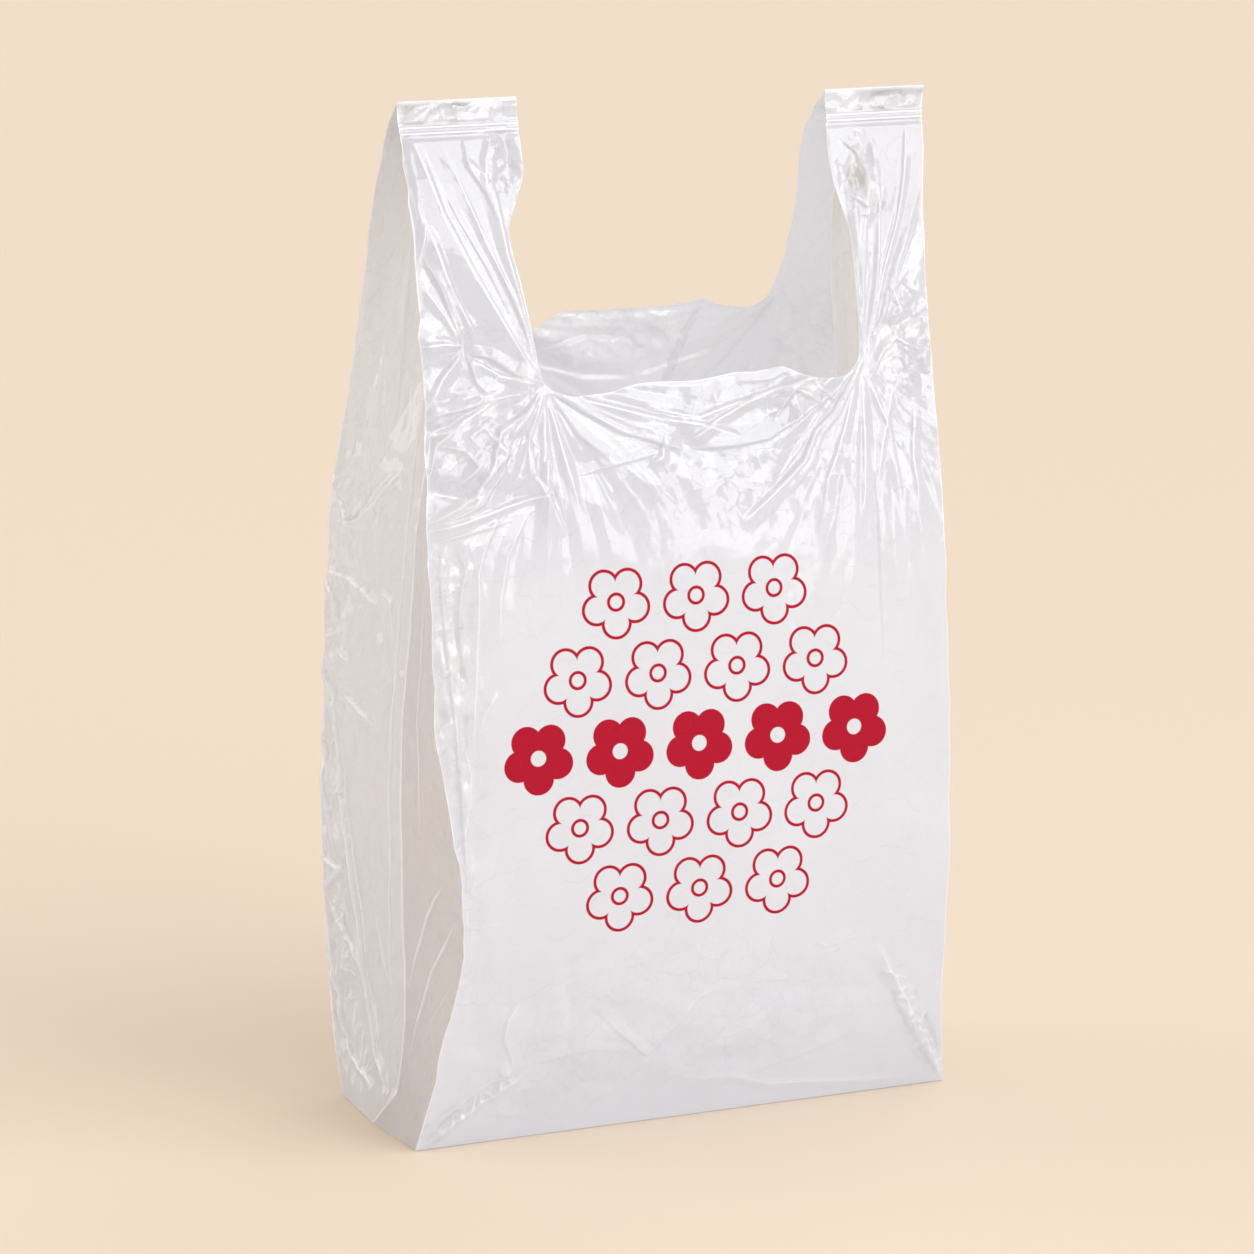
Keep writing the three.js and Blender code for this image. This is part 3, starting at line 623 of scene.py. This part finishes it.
def pulled_to(outline, x, z):
    """The nearest points of an open outline."""
    best = np.full(x.shape, np.inf)
    near_x, near_z = x.copy(), z.copy()
    for (xa, za), (xb, zb) in zip(outline[:-1], outline[1:]):
        run = (xb - xa) ** 2 + (zb - za) ** 2
        if run == 0:
            continue
        t = np.clip(((x - xa) * (xb - xa) + (z - za) * (zb - za)) / run, 0, 1)
        px, pz = xa + t * (xb - xa), za + t * (zb - za)
        away = np.hypot(x - px, z - pz)
        closer = away < best
        best = np.where(closer, away, best)
        near_x, near_z = np.where(closer, px, near_x), np.where(closer, pz, near_z)
    return near_x, near_z


def row_heights():
    """Heights of the mesh's rows, closer together up the handles and across the crimp."""
    levels = (0, SHOULDER, CRIMP - 6, TOP)
    cells = (BODY_CELL, HANDLE_CELL, CRIMP_CELL)
    rows = [np.zeros(1)]
    for low, high, cell in zip(levels[:-1], levels[1:], cells):
        rows.append(np.linspace(low, high, round((high - low) / cell) + 1)[1:])
    return np.concatenate(rows)


ROWS = row_heights()


# The four upright edges and the two middle creases, by height
def edge_line(x, seed, size, amount):
    """Adds small kinks to an edge, none at the floor and none at the top."""
    def at(z):
        held = smooth(z, 0, 30) * fall(z, CRIMP - 20, CRIMP)
        return x(z) + amount * held * kinks(z, size, seed)
    return at


front_left = edge_line(lambda z: lean(z) - half_width(z) + tuck(z), 201, 17, 1.3)
front_right = edge_line(lambda z: lean(z) + half_width(z), 203, 24, 0.8)
back_right = edge_line(lambda z: lean(z) + half_width(z) + spread(z) / 4, 205, 20, 1.1)
back_left = edge_line(lambda z: lean(z) - half_width(z) - spread(z), 207, 26, 0.8)
left_fold = edge_line(lambda z: lean(z) - half_width(z) + inset(z), 209, 40, 1.2)
right_fold = edge_line(lambda z: lean(z) + half_width(z) - inset(z), 211, 40, 1.2)


def crimp(z):
    """Two weld lines across each handle, with the film drawn in under them."""
    upper = np.maximum(0, 1 - np.abs(z - CRIMP - WELD_GAP) / WELD_HALF)
    lower = np.maximum(0, 1 - np.abs(z - CRIMP + WELD_GAP) / WELD_HALF)
    dent = np.maximum(0, 1 - np.abs(z - CRIMP + DENT_BELOW) / DENT_HALF)
    return WELD_RISE * (upper + lower) - DENT_DEPTH * dent


def quads(rows, columns):
    """Faces of a grid of points. They face the viewer when its columns run to the right."""
    i = np.arange(rows * columns).reshape(rows, columns)
    return np.stack([i[:-1, :-1], i[:-1, 1:], i[1:, 1:], i[1:, :-1]], -1).reshape(-1, 4)


def normals_of(points, faces):
    """The film's direction at each point, so that two pieces cut from it meet unseen."""
    a, b, c, d = (points[faces[:, k]] for k in range(4))
    across = np.cross(c - a, d - b)
    total = np.zeros_like(points)
    for k in range(4):
        np.add.at(total, faces[:, k], across)
    return total / np.maximum(np.linalg.norm(total, axis=1, keepdims=True), 1e-9)


def film_piece(name, points, faces, film, crest_and_looseness, normals):
    """A mesh of film from points in millimetres.

    film holds each point's place on the flat film, and the other map its distance from a crest, where a
    painted highlight line is drawn, and its looseness.
    """
    used = np.unique(faces)
    place = np.zeros(len(points), int)
    place[used] = np.arange(len(used))
    faces = place[faces]
    mesh = bpy.data.meshes.new(name)
    mesh.vertices.add(len(used))
    mesh.vertices.foreach_set("co", (points[used] * MM).astype(np.float32).ravel())
    mesh.loops.add(faces.size)
    mesh.loops.foreach_set("vertex_index", faces.ravel().astype(np.int32))
    mesh.polygons.add(len(faces))
    mesh.polygons.foreach_set("loop_start", np.arange(0, faces.size, 4, dtype=np.int32))
    mesh.update(calc_edges=True)
    mesh.validate()
    mesh.polygons.foreach_set("use_smooth", np.ones(len(mesh.polygons), bool))
    corner = np.zeros(len(mesh.loops), np.int32)
    mesh.loops.foreach_get("vertex_index", corner)
    for label, values in (("film", film * MM), ("crest_and_looseness", crest_and_looseness)):
        layer = mesh.uv_layers.new(name=label)
        layer.data.foreach_set("uv", values[used][corner].astype(np.float32).ravel())
    mesh.normals_split_custom_set_from_vertices(normals[used])
    return placed(name, mesh)


def big_panel(names, left, right, outline, relief, side, column):
    """The front (side -1) or back (side 1) film, with the mouth cut out of it.

    It is made in two pieces, below and above the shoulder.
    """
    columns = round(PANEL_WIDTH / column)
    share = np.linspace(0, 1, columns + 1)
    z = np.repeat(ROWS[:, None], columns + 1, 1)
    x = left(z) + (right(z) - left(z)) * share
    curve = rounded(outline)
    rim = curve[ROUND_STEPS:-ROUND_STEPS]
    cut = inside(curve, x.ravel(), z.ravel())
    faces = quads(*x.shape)
    faces = faces[~cut[faces].all(1)]
    moved = np.unique(faces)[cut[np.unique(faces)]]
    x, z = x.ravel(), z.ravel()
    x[moved], z[moved] = pulled_to(rim, x[moved], z[moved])
    z[moved] = np.minimum(z[moved], TOP)
    curl = np.zeros_like(x)
    close = (np.abs(x - MOUTH_MIDDLE) < MOUTH_REACH) & (z > RIM - 12)
    near_x, near_z = pulled_to(rim, x[close], z[close])
    from_rim = np.full_like(x, FAR)
    from_rim[close] = np.hypot(x[close] - near_x, z[close] - near_z)
    curl[close] = RIM_CURL * np.maximum(0, 1 - from_rim[close] / RIM_CURL_WIDTH) ** 2
    width = right(z) - left(z)
    across = (x - left(z)) / width
    held = np.minimum(x - left(z), right(z) - x)
    edge = smooth(held, 0, EDGE_FADE) * smooth(z, 0, 6) * fall(z, TOP - 3, TOP)
    arch = np.sin(np.pi * np.clip(across, 0, 1))
    crown = CROWN * arch * smooth(z, 0, FOOT) * fall(z, CRIMP - 30, CRIMP)
    quiet = 1 - smooth(z, CRIMP - 3, CRIMP) * fall(z, CRIMP + 2, CRIMP + 4)
    out = crown + crimp(z) + edge * quiet * relief.at(relief.height, x, z)
    out = out - curl * fall(z, CRIMP - 12, CRIMP)
    y = (front_y(z) if side < 0 else back_y(z)) + side * out
    points = np.stack([x, y, z - drop(x, z)], 1)
    if side > 0:
        faces = faces[:, ::-1]
    # The painted highlight lines follow the crests and also the panel's edges, the mouth rim, both weld
    # lines and the top fold.
    crest = relief.at(relief.crest, x, z)
    welds = (z - CRIMP - WELD_GAP, z - CRIMP + WELD_GAP)
    for line in (held * EDGE_SHARPNESS, from_rim, *welds, (TOP - z) * EDGE_SHARPNESS):
        crest = nearer(crest, line)
    crest_and_looseness = np.stack([crest, relief.at(relief.loose, x, z)], 1)
    film, normals = np.stack([x, z], 1), normals_of(points, faces)
    low = faces.max(1) < (np.searchsorted(ROWS, SHOULDER - 0.01) + 1) * (columns + 1)
    return [
        film_piece(name, points, part, film, crest_and_looseness, normals)
        for name, part in zip(names, (faces[low], faces[~low]))
    ]


def gusset(name, front, fold, back, relief, side, column):
    """The left (side -1) or right (side 1) gusset: front edge, middle fold and back edge."""
    columns = round(GUSSET_FILM / column / 2) * 2
    share = np.linspace(0, 1, columns + 1)
    z = np.repeat(ROWS[:, None], columns + 1, 1)
    share = np.repeat(share[None, :], len(ROWS), 0)
    depth = (back_y(z) - front_y(z)) / 2
    to_fold = np.minimum(share, 1 - share) * 2
    edge = np.where(share < 0.5, front(z), back(z))
    x = edge + (fold(z) - edge) * to_fold
    held = np.minimum(share, 1 - share) * 2 * depth
    near_fold = np.abs(share - 0.5) * GUSSET_FILM
    loose = smooth(held, 0, EDGE_FADE) * (0.35 + 0.65 * smooth(near_fold, 0, 6))
    loose = loose * smooth(z, 0, 10) * fall(z, CRIMP - 25, CRIMP - 5) * smooth(depth, 4, 30)
    along = share * GUSSET_FILM
    x = x + side * loose * relief.at(relief.height, along, z)
    y = front_y(z) + 2 * depth * share
    points = np.stack([x, y, z - drop(x, z)], -1).reshape(-1, 3)
    faces = quads(*z.shape)
    if side < 0:
        faces = faces[:, ::-1]
    # The painted highlight lines follow the crests, the middle fold and both edges, drawn wider here.
    crest = relief.at(relief.crest, along, z)
    for line in (along - GUSSET_FILM / 2, np.minimum(along, GUSSET_FILM - along)):
        crest = nearer(crest, line * EDGE_SHARPNESS)
    crest = crest * GUSSET_SHARPNESS
    film = np.stack([along, z], -1).reshape(-1, 2)
    crest_and_looseness = np.stack([crest, relief.at(relief.loose, along, z)], -1).reshape(-1, 2)
    return film_piece(name, points, faces, film, crest_and_looseness, normals_of(points, faces))


def base():
    """The flattened base: the film folded in from the sides, with the weld along it."""
    half = half_depth(0.0)
    left, right = float(left_fold(np.array(0.0))), float(right_fold(np.array(0.0)))
    rows = round(2 * half / BASE_CELL)
    columns = round((right - left) / BASE_CELL)
    y = np.repeat(np.linspace(-half, half, rows + 1)[:, None], columns + 1, 1)
    across = np.repeat(np.linspace(0, 1, columns + 1)[None, :], rows + 1, 0)
    near_fold = 1 - np.abs(y) / half
    corner_left = np.where(y < 0, front_left(np.array(0.0)), back_left(np.array(0.0)))
    corner_right = np.where(y < 0, front_right(np.array(0.0)), back_right(np.array(0.0)))
    x_left = corner_left + (left - corner_left) * near_fold
    x_right = corner_right + (right - corner_right) * near_fold
    x = x_left + (x_right - x_left) * across
    weld = np.maximum(0, 1 - np.abs(y - WELD_Y) / BASE_WELD_HALF)
    tent = np.abs(y) * 0.9 + 12
    inner = np.minimum(x - x_left, x_right - x)
    folded = smooth(tent - inner, 0, 3)
    rim = smooth(np.minimum(half - np.abs(y), inner), 0, 6)
    wrinkles = loose_facets(x / 22, y / 12, 301) + 1
    z = rim * (1.1 * weld + 0.5 * folded + 0.5 * wrinkles)
    points = np.stack([x, y, z], -1).reshape(-1, 3)
    faces = quads(*z.shape)
    film = np.stack([x, y], -1).reshape(-1, 2)
    # Its painted highlight line follows the weld.
    crest_and_looseness = np.stack([y - WELD_Y, 0.3 * folded], -1).reshape(-1, 2)
    return film_piece("base_film", points, faces, film, crest_and_looseness, normals_of(points, faces))


def placed(name, data):
    """An object in the scene with this mesh, lamp or camera."""
    thing = bpy.data.objects.new(name, data)
    bpy.context.scene.collection.objects.link(thing)
    return thing


# Materials
class Value:
    """A shader socket that sums are written with."""

    def __init__(self, tree, socket):
        self.tree, self.socket = tree, socket

    def maths(self, operation, *others):
        return node(self.tree, "Math", {"operation": operation}, self, *others)

    def __add__(self, other): return self.maths("ADD", other)
    def __sub__(self, other): return self.maths("SUBTRACT", other)
    def __mul__(self, other): return self.maths("MULTIPLY", other)
    def __truediv__(self, other): return self.maths("DIVIDE", other)
    def __radd__(self, other): return self.maths("ADD", other)
    def __rmul__(self, other): return self.maths("MULTIPLY", other)
    def __rsub__(self, other): return (self * -1) + other

    def lowest(self, other): return self.maths("MINIMUM", other)
    def highest(self, other): return self.maths("MAXIMUM", other)
    def size(self): return self.maths("ABSOLUTE")
    def root(self): return self.maths("SQRT")

    def beside(self, name):
        """Another output of the same node."""
        return Value(self.tree, self.socket.node.outputs[name])

    def soft_over(self, limit, blur):
        """1 where the value is over the limit, 0 under it, with a blurred step."""
        return ((self - limit) / blur + 0.5).highest(0).lowest(1)


def node(tree, kind, settings=None, *inputs, output=0, **named):
    """Adds a node: its settings, its inputs in order or by name, and gives back one output."""
    added = tree.nodes.new("ShaderNode" + kind)
    for key, value in (settings or {}).items():
        setattr(added, key, value)
    sockets = list(zip(added.inputs, inputs))
    sockets += [(added.inputs[name.replace("_", " ")], value) for name, value in named.items()]
    for socket, value in sockets:
        if isinstance(value, Value):
            tree.links.new(value.socket, socket)
        else:
            socket.default_value = value
    return Value(tree, added.outputs[output])


def split(tree, vector):
    """The first two parts of a vector or a colour."""
    first = node(tree, "SeparateXYZ", {}, vector)
    return first, first.beside("Y")


def noise(tree, place, scale):
    """Smooth patches on the flat film, from 0 to 1."""
    flat = {"noise_dimensions": "2D"}
    return node(tree, "TexNoise", flat, Vector=place, Scale=float(scale), Detail=0.0)


def blend(tree, share, first, second):
    """A colour between two others."""
    mix = tree.nodes.new("ShaderNodeMix")
    mix.data_type = "RGBA"
    for index, value in ((0, share), (6, first), (7, second)):
        if isinstance(value, Value):
            tree.links.new(value.socket, mix.inputs[index])
        else:
            mix.inputs[index].default_value = value
    return Value(tree, mix.outputs[2])


def new_material(name):
    material = bpy.data.materials.new(name)
    material.use_nodes = True
    material.node_tree.nodes.clear()
    return material, material.node_tree


def finish_material(tree, shader):
    output = tree.nodes.new("ShaderNodeOutputMaterial")
    tree.links.new(shader.socket, output.inputs["Surface"])


# The film's whites: calm film; a darker lilac white, painted shade on the upper part; the gussets' whites,
# painted warm light, darker on the left gusset's front half as painted shade; painted shade for a dark
# shard;
# painted shade in the pinched pocket; a painted highlight for crests and light shards; and the light that
# passes through panels and gussets, warm in the gussets as painted warm light
CALM = (0.90, 0.90, 0.945, 1)
UPPER_SHADE = (0.75, 0.765, 0.83, 1)
FRONT_HALF_SHADE = (0.70, 0.645, 0.62, 1)
WARM_LIT_WHITE = (0.88, 0.845, 0.815, 1)
SHADED = (0.66, 0.67, 0.72, 1)
POCKET_GREY = (0.56, 0.52, 0.49, 1)
HIGHLIGHT_WHITE = (0.98, 0.98, 0.99, 1)
BODY = (0.92, 0.92, 0.95, 1)
WARM_LIT_BODY = (0.95, 0.925, 0.905, 1)
RED = (0.47, 0.001, 0.022, 1)
FILM_IOR = 1.7

# The film's crumpled surface, in millimetres: shards as their size and stretch, and the crest lines of
# painted highlight
SHARD_PULL = 7
LARGE_SHARD = (12, 1.8)
SMALL_SHARD = (4, 1.7)
CREST_HALF = 0.42
CREST_BLUR = 0.4
CREST_HIGHLIGHT_STRENGTH = 0.85
POCKET_MIDDLE = (105, 477)
POCKET_HALF = (4.4, 6.2)
POCKET_DEPTH = 0.85

# The print: blossoms in a six-sided block of rows, outlined but for the middle row
PRINT_MIDDLE = (-7, 204)
BLOSSOM_PITCH = 43
ROW_PITCH = 37.2
PETAL_REACH = 10.6
PETAL_RADIUS = 7.2
EYE_RADIUS = 4
LINE = 1.6
BLUR = 0.35


def print_mask(tree):
    """Where the red ink is, from the place on the flat film."""
    across, up = split(tree, node(tree, "UVMap", {"uv_map": "film"}))
    x = across * (1 / MM) - PRINT_MIDDLE[0]
    z = up * (1 / MM) - PRINT_MIDDLE[1]
    row = (z / ROW_PITCH).maths("ROUND").highest(-2).lowest(2)
    odd = row.maths("MODULO", 2).size()
    offset = odd * 0.5
    reach = 2 - row.size() * 0.5
    column = (x / BLOSSOM_PITCH - offset).maths("ROUND") + offset
    column = column.lowest(reach).highest(reach * -1)
    px = x - column * BLOSSOM_PITCH
    pz = z - row * ROW_PITCH
    far = (px * px + pz * pz).root()
    turn = pz.maths("ARCTAN2", px) / math.radians(72) + 0.25
    folded = (turn - turn.maths("ROUND")) * math.radians(72)
    along = far * folded.maths("COSINE") - PETAL_REACH
    aside = far * folded.maths("SINE")
    petal = ((along * along + aside * aside).root() - PETAL_RADIUS).lowest(far - PETAL_REACH)
    rim = 1 - petal.size().soft_over(LINE / 2, BLUR)
    eye = 1 - (far - EYE_RADIUS).size().soft_over(LINE / 2, BLUR)
    outlined = rim.highest(eye)
    filled = (1 - petal.soft_over(LINE / 2, BLUR)) * (far - EYE_RADIUS).soft_over(0, BLUR)
    middle = 1 - row.size().soft_over(0.5, 0.1)
    filled = filled.highest(rim) * middle
    return outlined.lowest(1 - middle).highest(filled)


def shards(tree, across, up, size, stretch, turn):
    """Crushed film: the height of flat pieces that each tilt their own way, and for each a value from its
    tilt that is painted on as highlight and shade.
    """
    c, s = math.cos(math.radians(turn)), math.sin(math.radians(turn))
    p = (across * c + up * s) / size
    q = (up * c - across * s) / (size * stretch)
    spot = node(tree, "CombineXYZ", {}, p, q)
    kind = {"voronoi_dimensions": "2D", "feature": "F1"}
    pieces = node(tree, "TexVoronoi", kind, Vector=spot, Scale=1.0)
    middle_p, middle_q = split(tree, pieces.beside("Position"))
    tilt_p, tilt_q = split(tree, pieces.beside("Color"))
    height = (p - middle_p) * (tilt_p - 0.5) + (q - middle_q) * (tilt_q - 0.5) * stretch
    return height * (2 * size), tilt_p


def glossy(tree, colour, roughness, specular, bump):
    return node(
        tree, "BsdfPrincipled", {}, Base_Color=colour, Roughness=roughness,
        IOR=FILM_IOR, Specular_IOR_Level=specular, Normal=bump,
    )


def mixed(tree, share, first, second):
    return node(tree, "MixShader", {}, share, first, second)


def film_material(name, clearness, softness, turn, whites, body, second_white_place, printed=False):
    """Cloudy film: a gloss over a white body that lets some light through.

    The second of the whites lies where the given share says, and the film is glossier there: it is painted
    shade in the upper part of the printed film, and on a gusset the back half's painted warm light. The
    shards carry painted highlights and painted shade, and the crests painted highlight lines. turn says how
    its shards lie.
    """
    material, tree = new_material(name)
    place = node(tree, "UVMap", {"uv_map": "film"})
    across, up = (part * (1 / MM) for part in split(tree, place))
    # The distance from a crest, for the painted highlight lines, and how crushed the film is.
    crest, loose = split(tree, node(tree, "UVMap", {"uv_map": "crest_and_looseness"}))
    second_white_share = second_white_place(across, up)

    pull = noise(tree, place, 110).beside("Color")
    pull_across, pull_up = (part * SHARD_PULL for part in split(tree, pull))
    large, large_shard_light = shards(tree, across + pull_across, up + pull_up, *LARGE_SHARD, turn)
    small, small_shard_light = shards(tree, across + pull_up, up + pull_across, *SMALL_SHARD, turn + 25)
    streaks = noise(tree, place, 240)
    crushed = loose * (large * 0.2 + small * 0.08)
    height = crushed + streaks * 0.06
    bump = node(tree, "Bump", {}, Strength=1.0, Distance=MM, Height=height)

    cloud = noise(tree, place, 16)
    # Painted highlight lines along the crests, where the film is also drawn less clear.
    pale = (1 - crest.size().soft_over(CREST_HALF, CREST_BLUR)) * CREST_HIGHLIGHT_STRENGTH
    # Crushed shards are painted by their tilt: painted highlight on those tilted one way, painted shade on
    # those tilted the other, for the lamp they catch or miss.
    painted_shard_light = loose * (large_shard_light * 0.5 + small_shard_light * 0.5 - 0.5)
    white = blend(tree, painted_shard_light.highest(0) * 1.8, blend(tree, second_white_share, *whites), HIGHLIGHT_WHITE)
    white = blend(tree, painted_shard_light.lowest(0) * -0.35, white, SHADED)
    white = blend(tree, pale, white, HIGHLIGHT_WHITE)
    if printed:
        white = blend(tree, pocket(across, up), white, POCKET_GREY)
    gloss = glossy(tree, white, softness - second_white_share * 0.08 + (cloud - 0.5) * 0.06, 1.0, bump)
    through = node(tree, "BsdfTranslucent", {}, Color=body, Normal=bump)
    film = mixed(tree, (clearness + (cloud - 0.5) * 0.1) * (1 - pale * 0.7), gloss, through)
    if printed:
        ink = glossy(tree, RED, 0.3 + cloud * 0.1, 0.05, bump)
        film = mixed(tree, print_mask(tree) * 0.99, film, ink)
    finish_material(tree, film)
    return material


def pocket(across, up):
    """How grey the pinched pocket of the right handle is, where the film lies in its own shade."""
    aside = (across - POCKET_MIDDLE[0]) / POCKET_HALF[0]
    above = (up - POCKET_MIDDLE[1]) / POCKET_HALF[1]
    return (1 - (aside * aside + above * above).soft_over(1, 0.5)) * POCKET_DEPTH


def high(across, up):
    """1 in the upper part of the bag, where the film is drawn to the handles, and 0 in the folded tops,
    where many layers lie together. There the film is glossier and darkened by painted shade to a lilac
    grey."""
    return up.soft_over(315, 70) * (1 - up.soft_over(CRIMP + 3, 3))


def behind_fold(across, up):
    """1 in the back half of a gusset, behind its middle fold."""
    return across.soft_over(GUSSET_FILM / 2, 1)


# The bag
def build_bag():
    printed = film_material(
        "printed film", clearness=0.32, softness=0.15, turn=-52, whites=(CALM, UPPER_SHADE),
        body=BODY, second_white_place=high, printed=True,
    )
    plain = film_material(
        "plain film", clearness=0.42, softness=0.13, turn=40, whites=(CALM, CALM),
        body=BODY, second_white_place=high,
    )
    # The gussets' whites and the light through them are painted warm light from warm surroundings, with
    # painted shade on the left gusset's front half.
    left_side, right_side = (
        film_material(
            name, clearness=0.4, softness=0.13, turn=12, whites=(front_half, WARM_LIT_WHITE),
            body=WARM_LIT_BODY, second_white_place=behind_fold,
        )
        for name, front_half in (("left gusset film", FRONT_HALF_SHADE), ("right gusset film", WARM_LIT_WHITE))
    )
    front_names, back_names = ("front_film", "front_handles"), ("back_film", "back_handles")
    front = big_panel(front_names, front_left, front_right, FRONT_MOUTH, front_relief(), -1, FRONT_COLUMN)
    back = big_panel(back_names, back_left, back_right, BACK_MOUTH, back_relief(), 1, BACK_COLUMN)
    left = gusset("left_gusset", front_left, left_fold, back_left, gusset_relief(401), -1, LEFT_COLUMN)
    right = gusset("right_gusset", front_right, right_fold, back_right, gusset_relief(431), 1, RIGHT_COLUMN)
    films = {left: left_side, right: right_side} | {piece: printed for piece in front}
    for piece in (*front, *back, left, right, base()):
        piece.data.materials.append(films.get(piece, plain))
        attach(piece, "root")
    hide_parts("bag")


build_bag()

# Floor and light
PAPER = (0.896, 0.761, 0.617, 1)
PALE = (0.86, 0.85, 0.85, 1)
SKY = (1, 0.985, 0.97, 1)
SKY_STRENGTH = 0.72
FLOOR_SIZE = 60
FLOOR_GAP = 0.0004
LAMP_AIM = 0.15


def seen(tree):
    """1 where the paper itself is seen, straight or in a gloss or through film."""
    camera = node(tree, "LightPath")
    keys = ("Is Glossy Ray", "Is Transmission Ray", "Is Diffuse Ray")
    gloss, through, spread_out = (camera.beside(key) for key in keys)
    return camera.highest(gloss).highest(through * (1 - spread_out))


def build_floor():
    mesh = bpy.data.meshes.new("floor")
    half = FLOOR_SIZE / 2
    corners = [(-half, -half, 0), (half, -half, 0), (half, half, 0), (-half, half, 0)]
    mesh.from_pydata(corners, [], [(0, 1, 2, 3)])
    floor = placed("floor", mesh)
    floor.location.z = -FLOOR_GAP
    material, tree = new_material("floor paper")
    pale = node(tree, "BsdfDiffuse", {}, Color=PALE)
    paper = node(tree, "BsdfDiffuse", {}, Color=PAPER)
    finish_material(tree, mixed(tree, seen(tree), pale, paper))
    mesh.materials.append(material)


def direction(azimuth, elevation):
    """The way from the bag. Azimuth 0 is in front of it, and 90 to its right."""
    a, e = math.radians(azimuth), math.radians(elevation)
    return Vector((math.sin(a) * math.cos(e), -math.cos(a) * math.cos(e), math.sin(e)))


def turned(towards):
    """The rotation of a lamp or a camera that stands that way from what it looks at."""
    return towards.to_track_quat("Z", "Y").to_euler()


def sun(name, azimuth, elevation, strength, angle, colour=(1, 1, 1)):
    """A lamp far away, as wide as its angle."""
    data = bpy.data.lights.new(name, "SUN")
    data.energy = strength
    data.angle = math.radians(angle)
    data.color = colour
    lamp = placed(name, data)
    lamp.rotation_euler = turned(direction(azimuth, elevation))
    lamp.location = direction(azimuth, elevation) * 3


def near_lamp(x, y, z, power, width):
    """A round lamp close to the bag, so that the floor in front is lighter than far behind."""
    data = bpy.data.lights.new("near lamp", "AREA")
    data.shape = "DISK"
    data.size = width
    data.energy = power
    lamp = placed("near lamp", data)
    lamp.location = (x, y, z)
    lamp.rotation_euler = turned(Vector((x, y, z - LAMP_AIM)))


def build_world():
    world = bpy.data.worlds.new("studio")
    world.use_nodes = True
    bpy.context.scene.world = world
    tree = world.node_tree
    tree.nodes.clear()
    light = node(tree, "Background", {}, Color=SKY, Strength=SKY_STRENGTH)
    paper = node(tree, "Background", {}, Color=PAPER, Strength=1.0)
    sky = mixed(tree, seen(tree), light, paper)
    output = tree.nodes.new("ShaderNodeOutputWorld")
    tree.links.new(sky.socket, output.inputs["Surface"])


build_floor()
build_world()
sun("key lamp", 44, 40, 0.8, 44, (0.95, 0.975, 1))
sun("sheen lamp", 22, 24, 0.14, 16, (0.95, 0.975, 1))
sun("low lamp", 28, 9, 0.1, 16)
sun("side lamp", -120, 20, 0.42, 42, (1, 0.9, 0.8))
sun("back lamp", 130, 30, 0.22, 36, (1, 0.94, 0.88))
near_lamp(0.1, -1.6, 1.3, 2.9, 0.9)

# Camera
FOCAL = 5000
FRAME_PIXELS = 1254
SENSOR = 36
CAMERA_AZIMUTH = -23.37
CAMERA_ELEVATION = 12.43
CAMERA_DISTANCE = 2.5534
CAMERA_TARGET = Vector((-0.01054, 0, 0.24669))


def build_camera():
    data = bpy.data.cameras.new("camera")
    data.sensor_width = SENSOR
    data.lens = FOCAL / FRAME_PIXELS * SENSOR
    data.clip_end = 200
    camera = placed("camera", data)
    back = direction(CAMERA_AZIMUTH, CAMERA_ELEVATION)
    camera.location = CAMERA_TARGET + back * CAMERA_DISTANCE
    camera.rotation_euler = turned(back)
    bpy.context.scene.camera = camera


build_camera()
bpy.context.scene.view_settings.view_transform = "Standard"
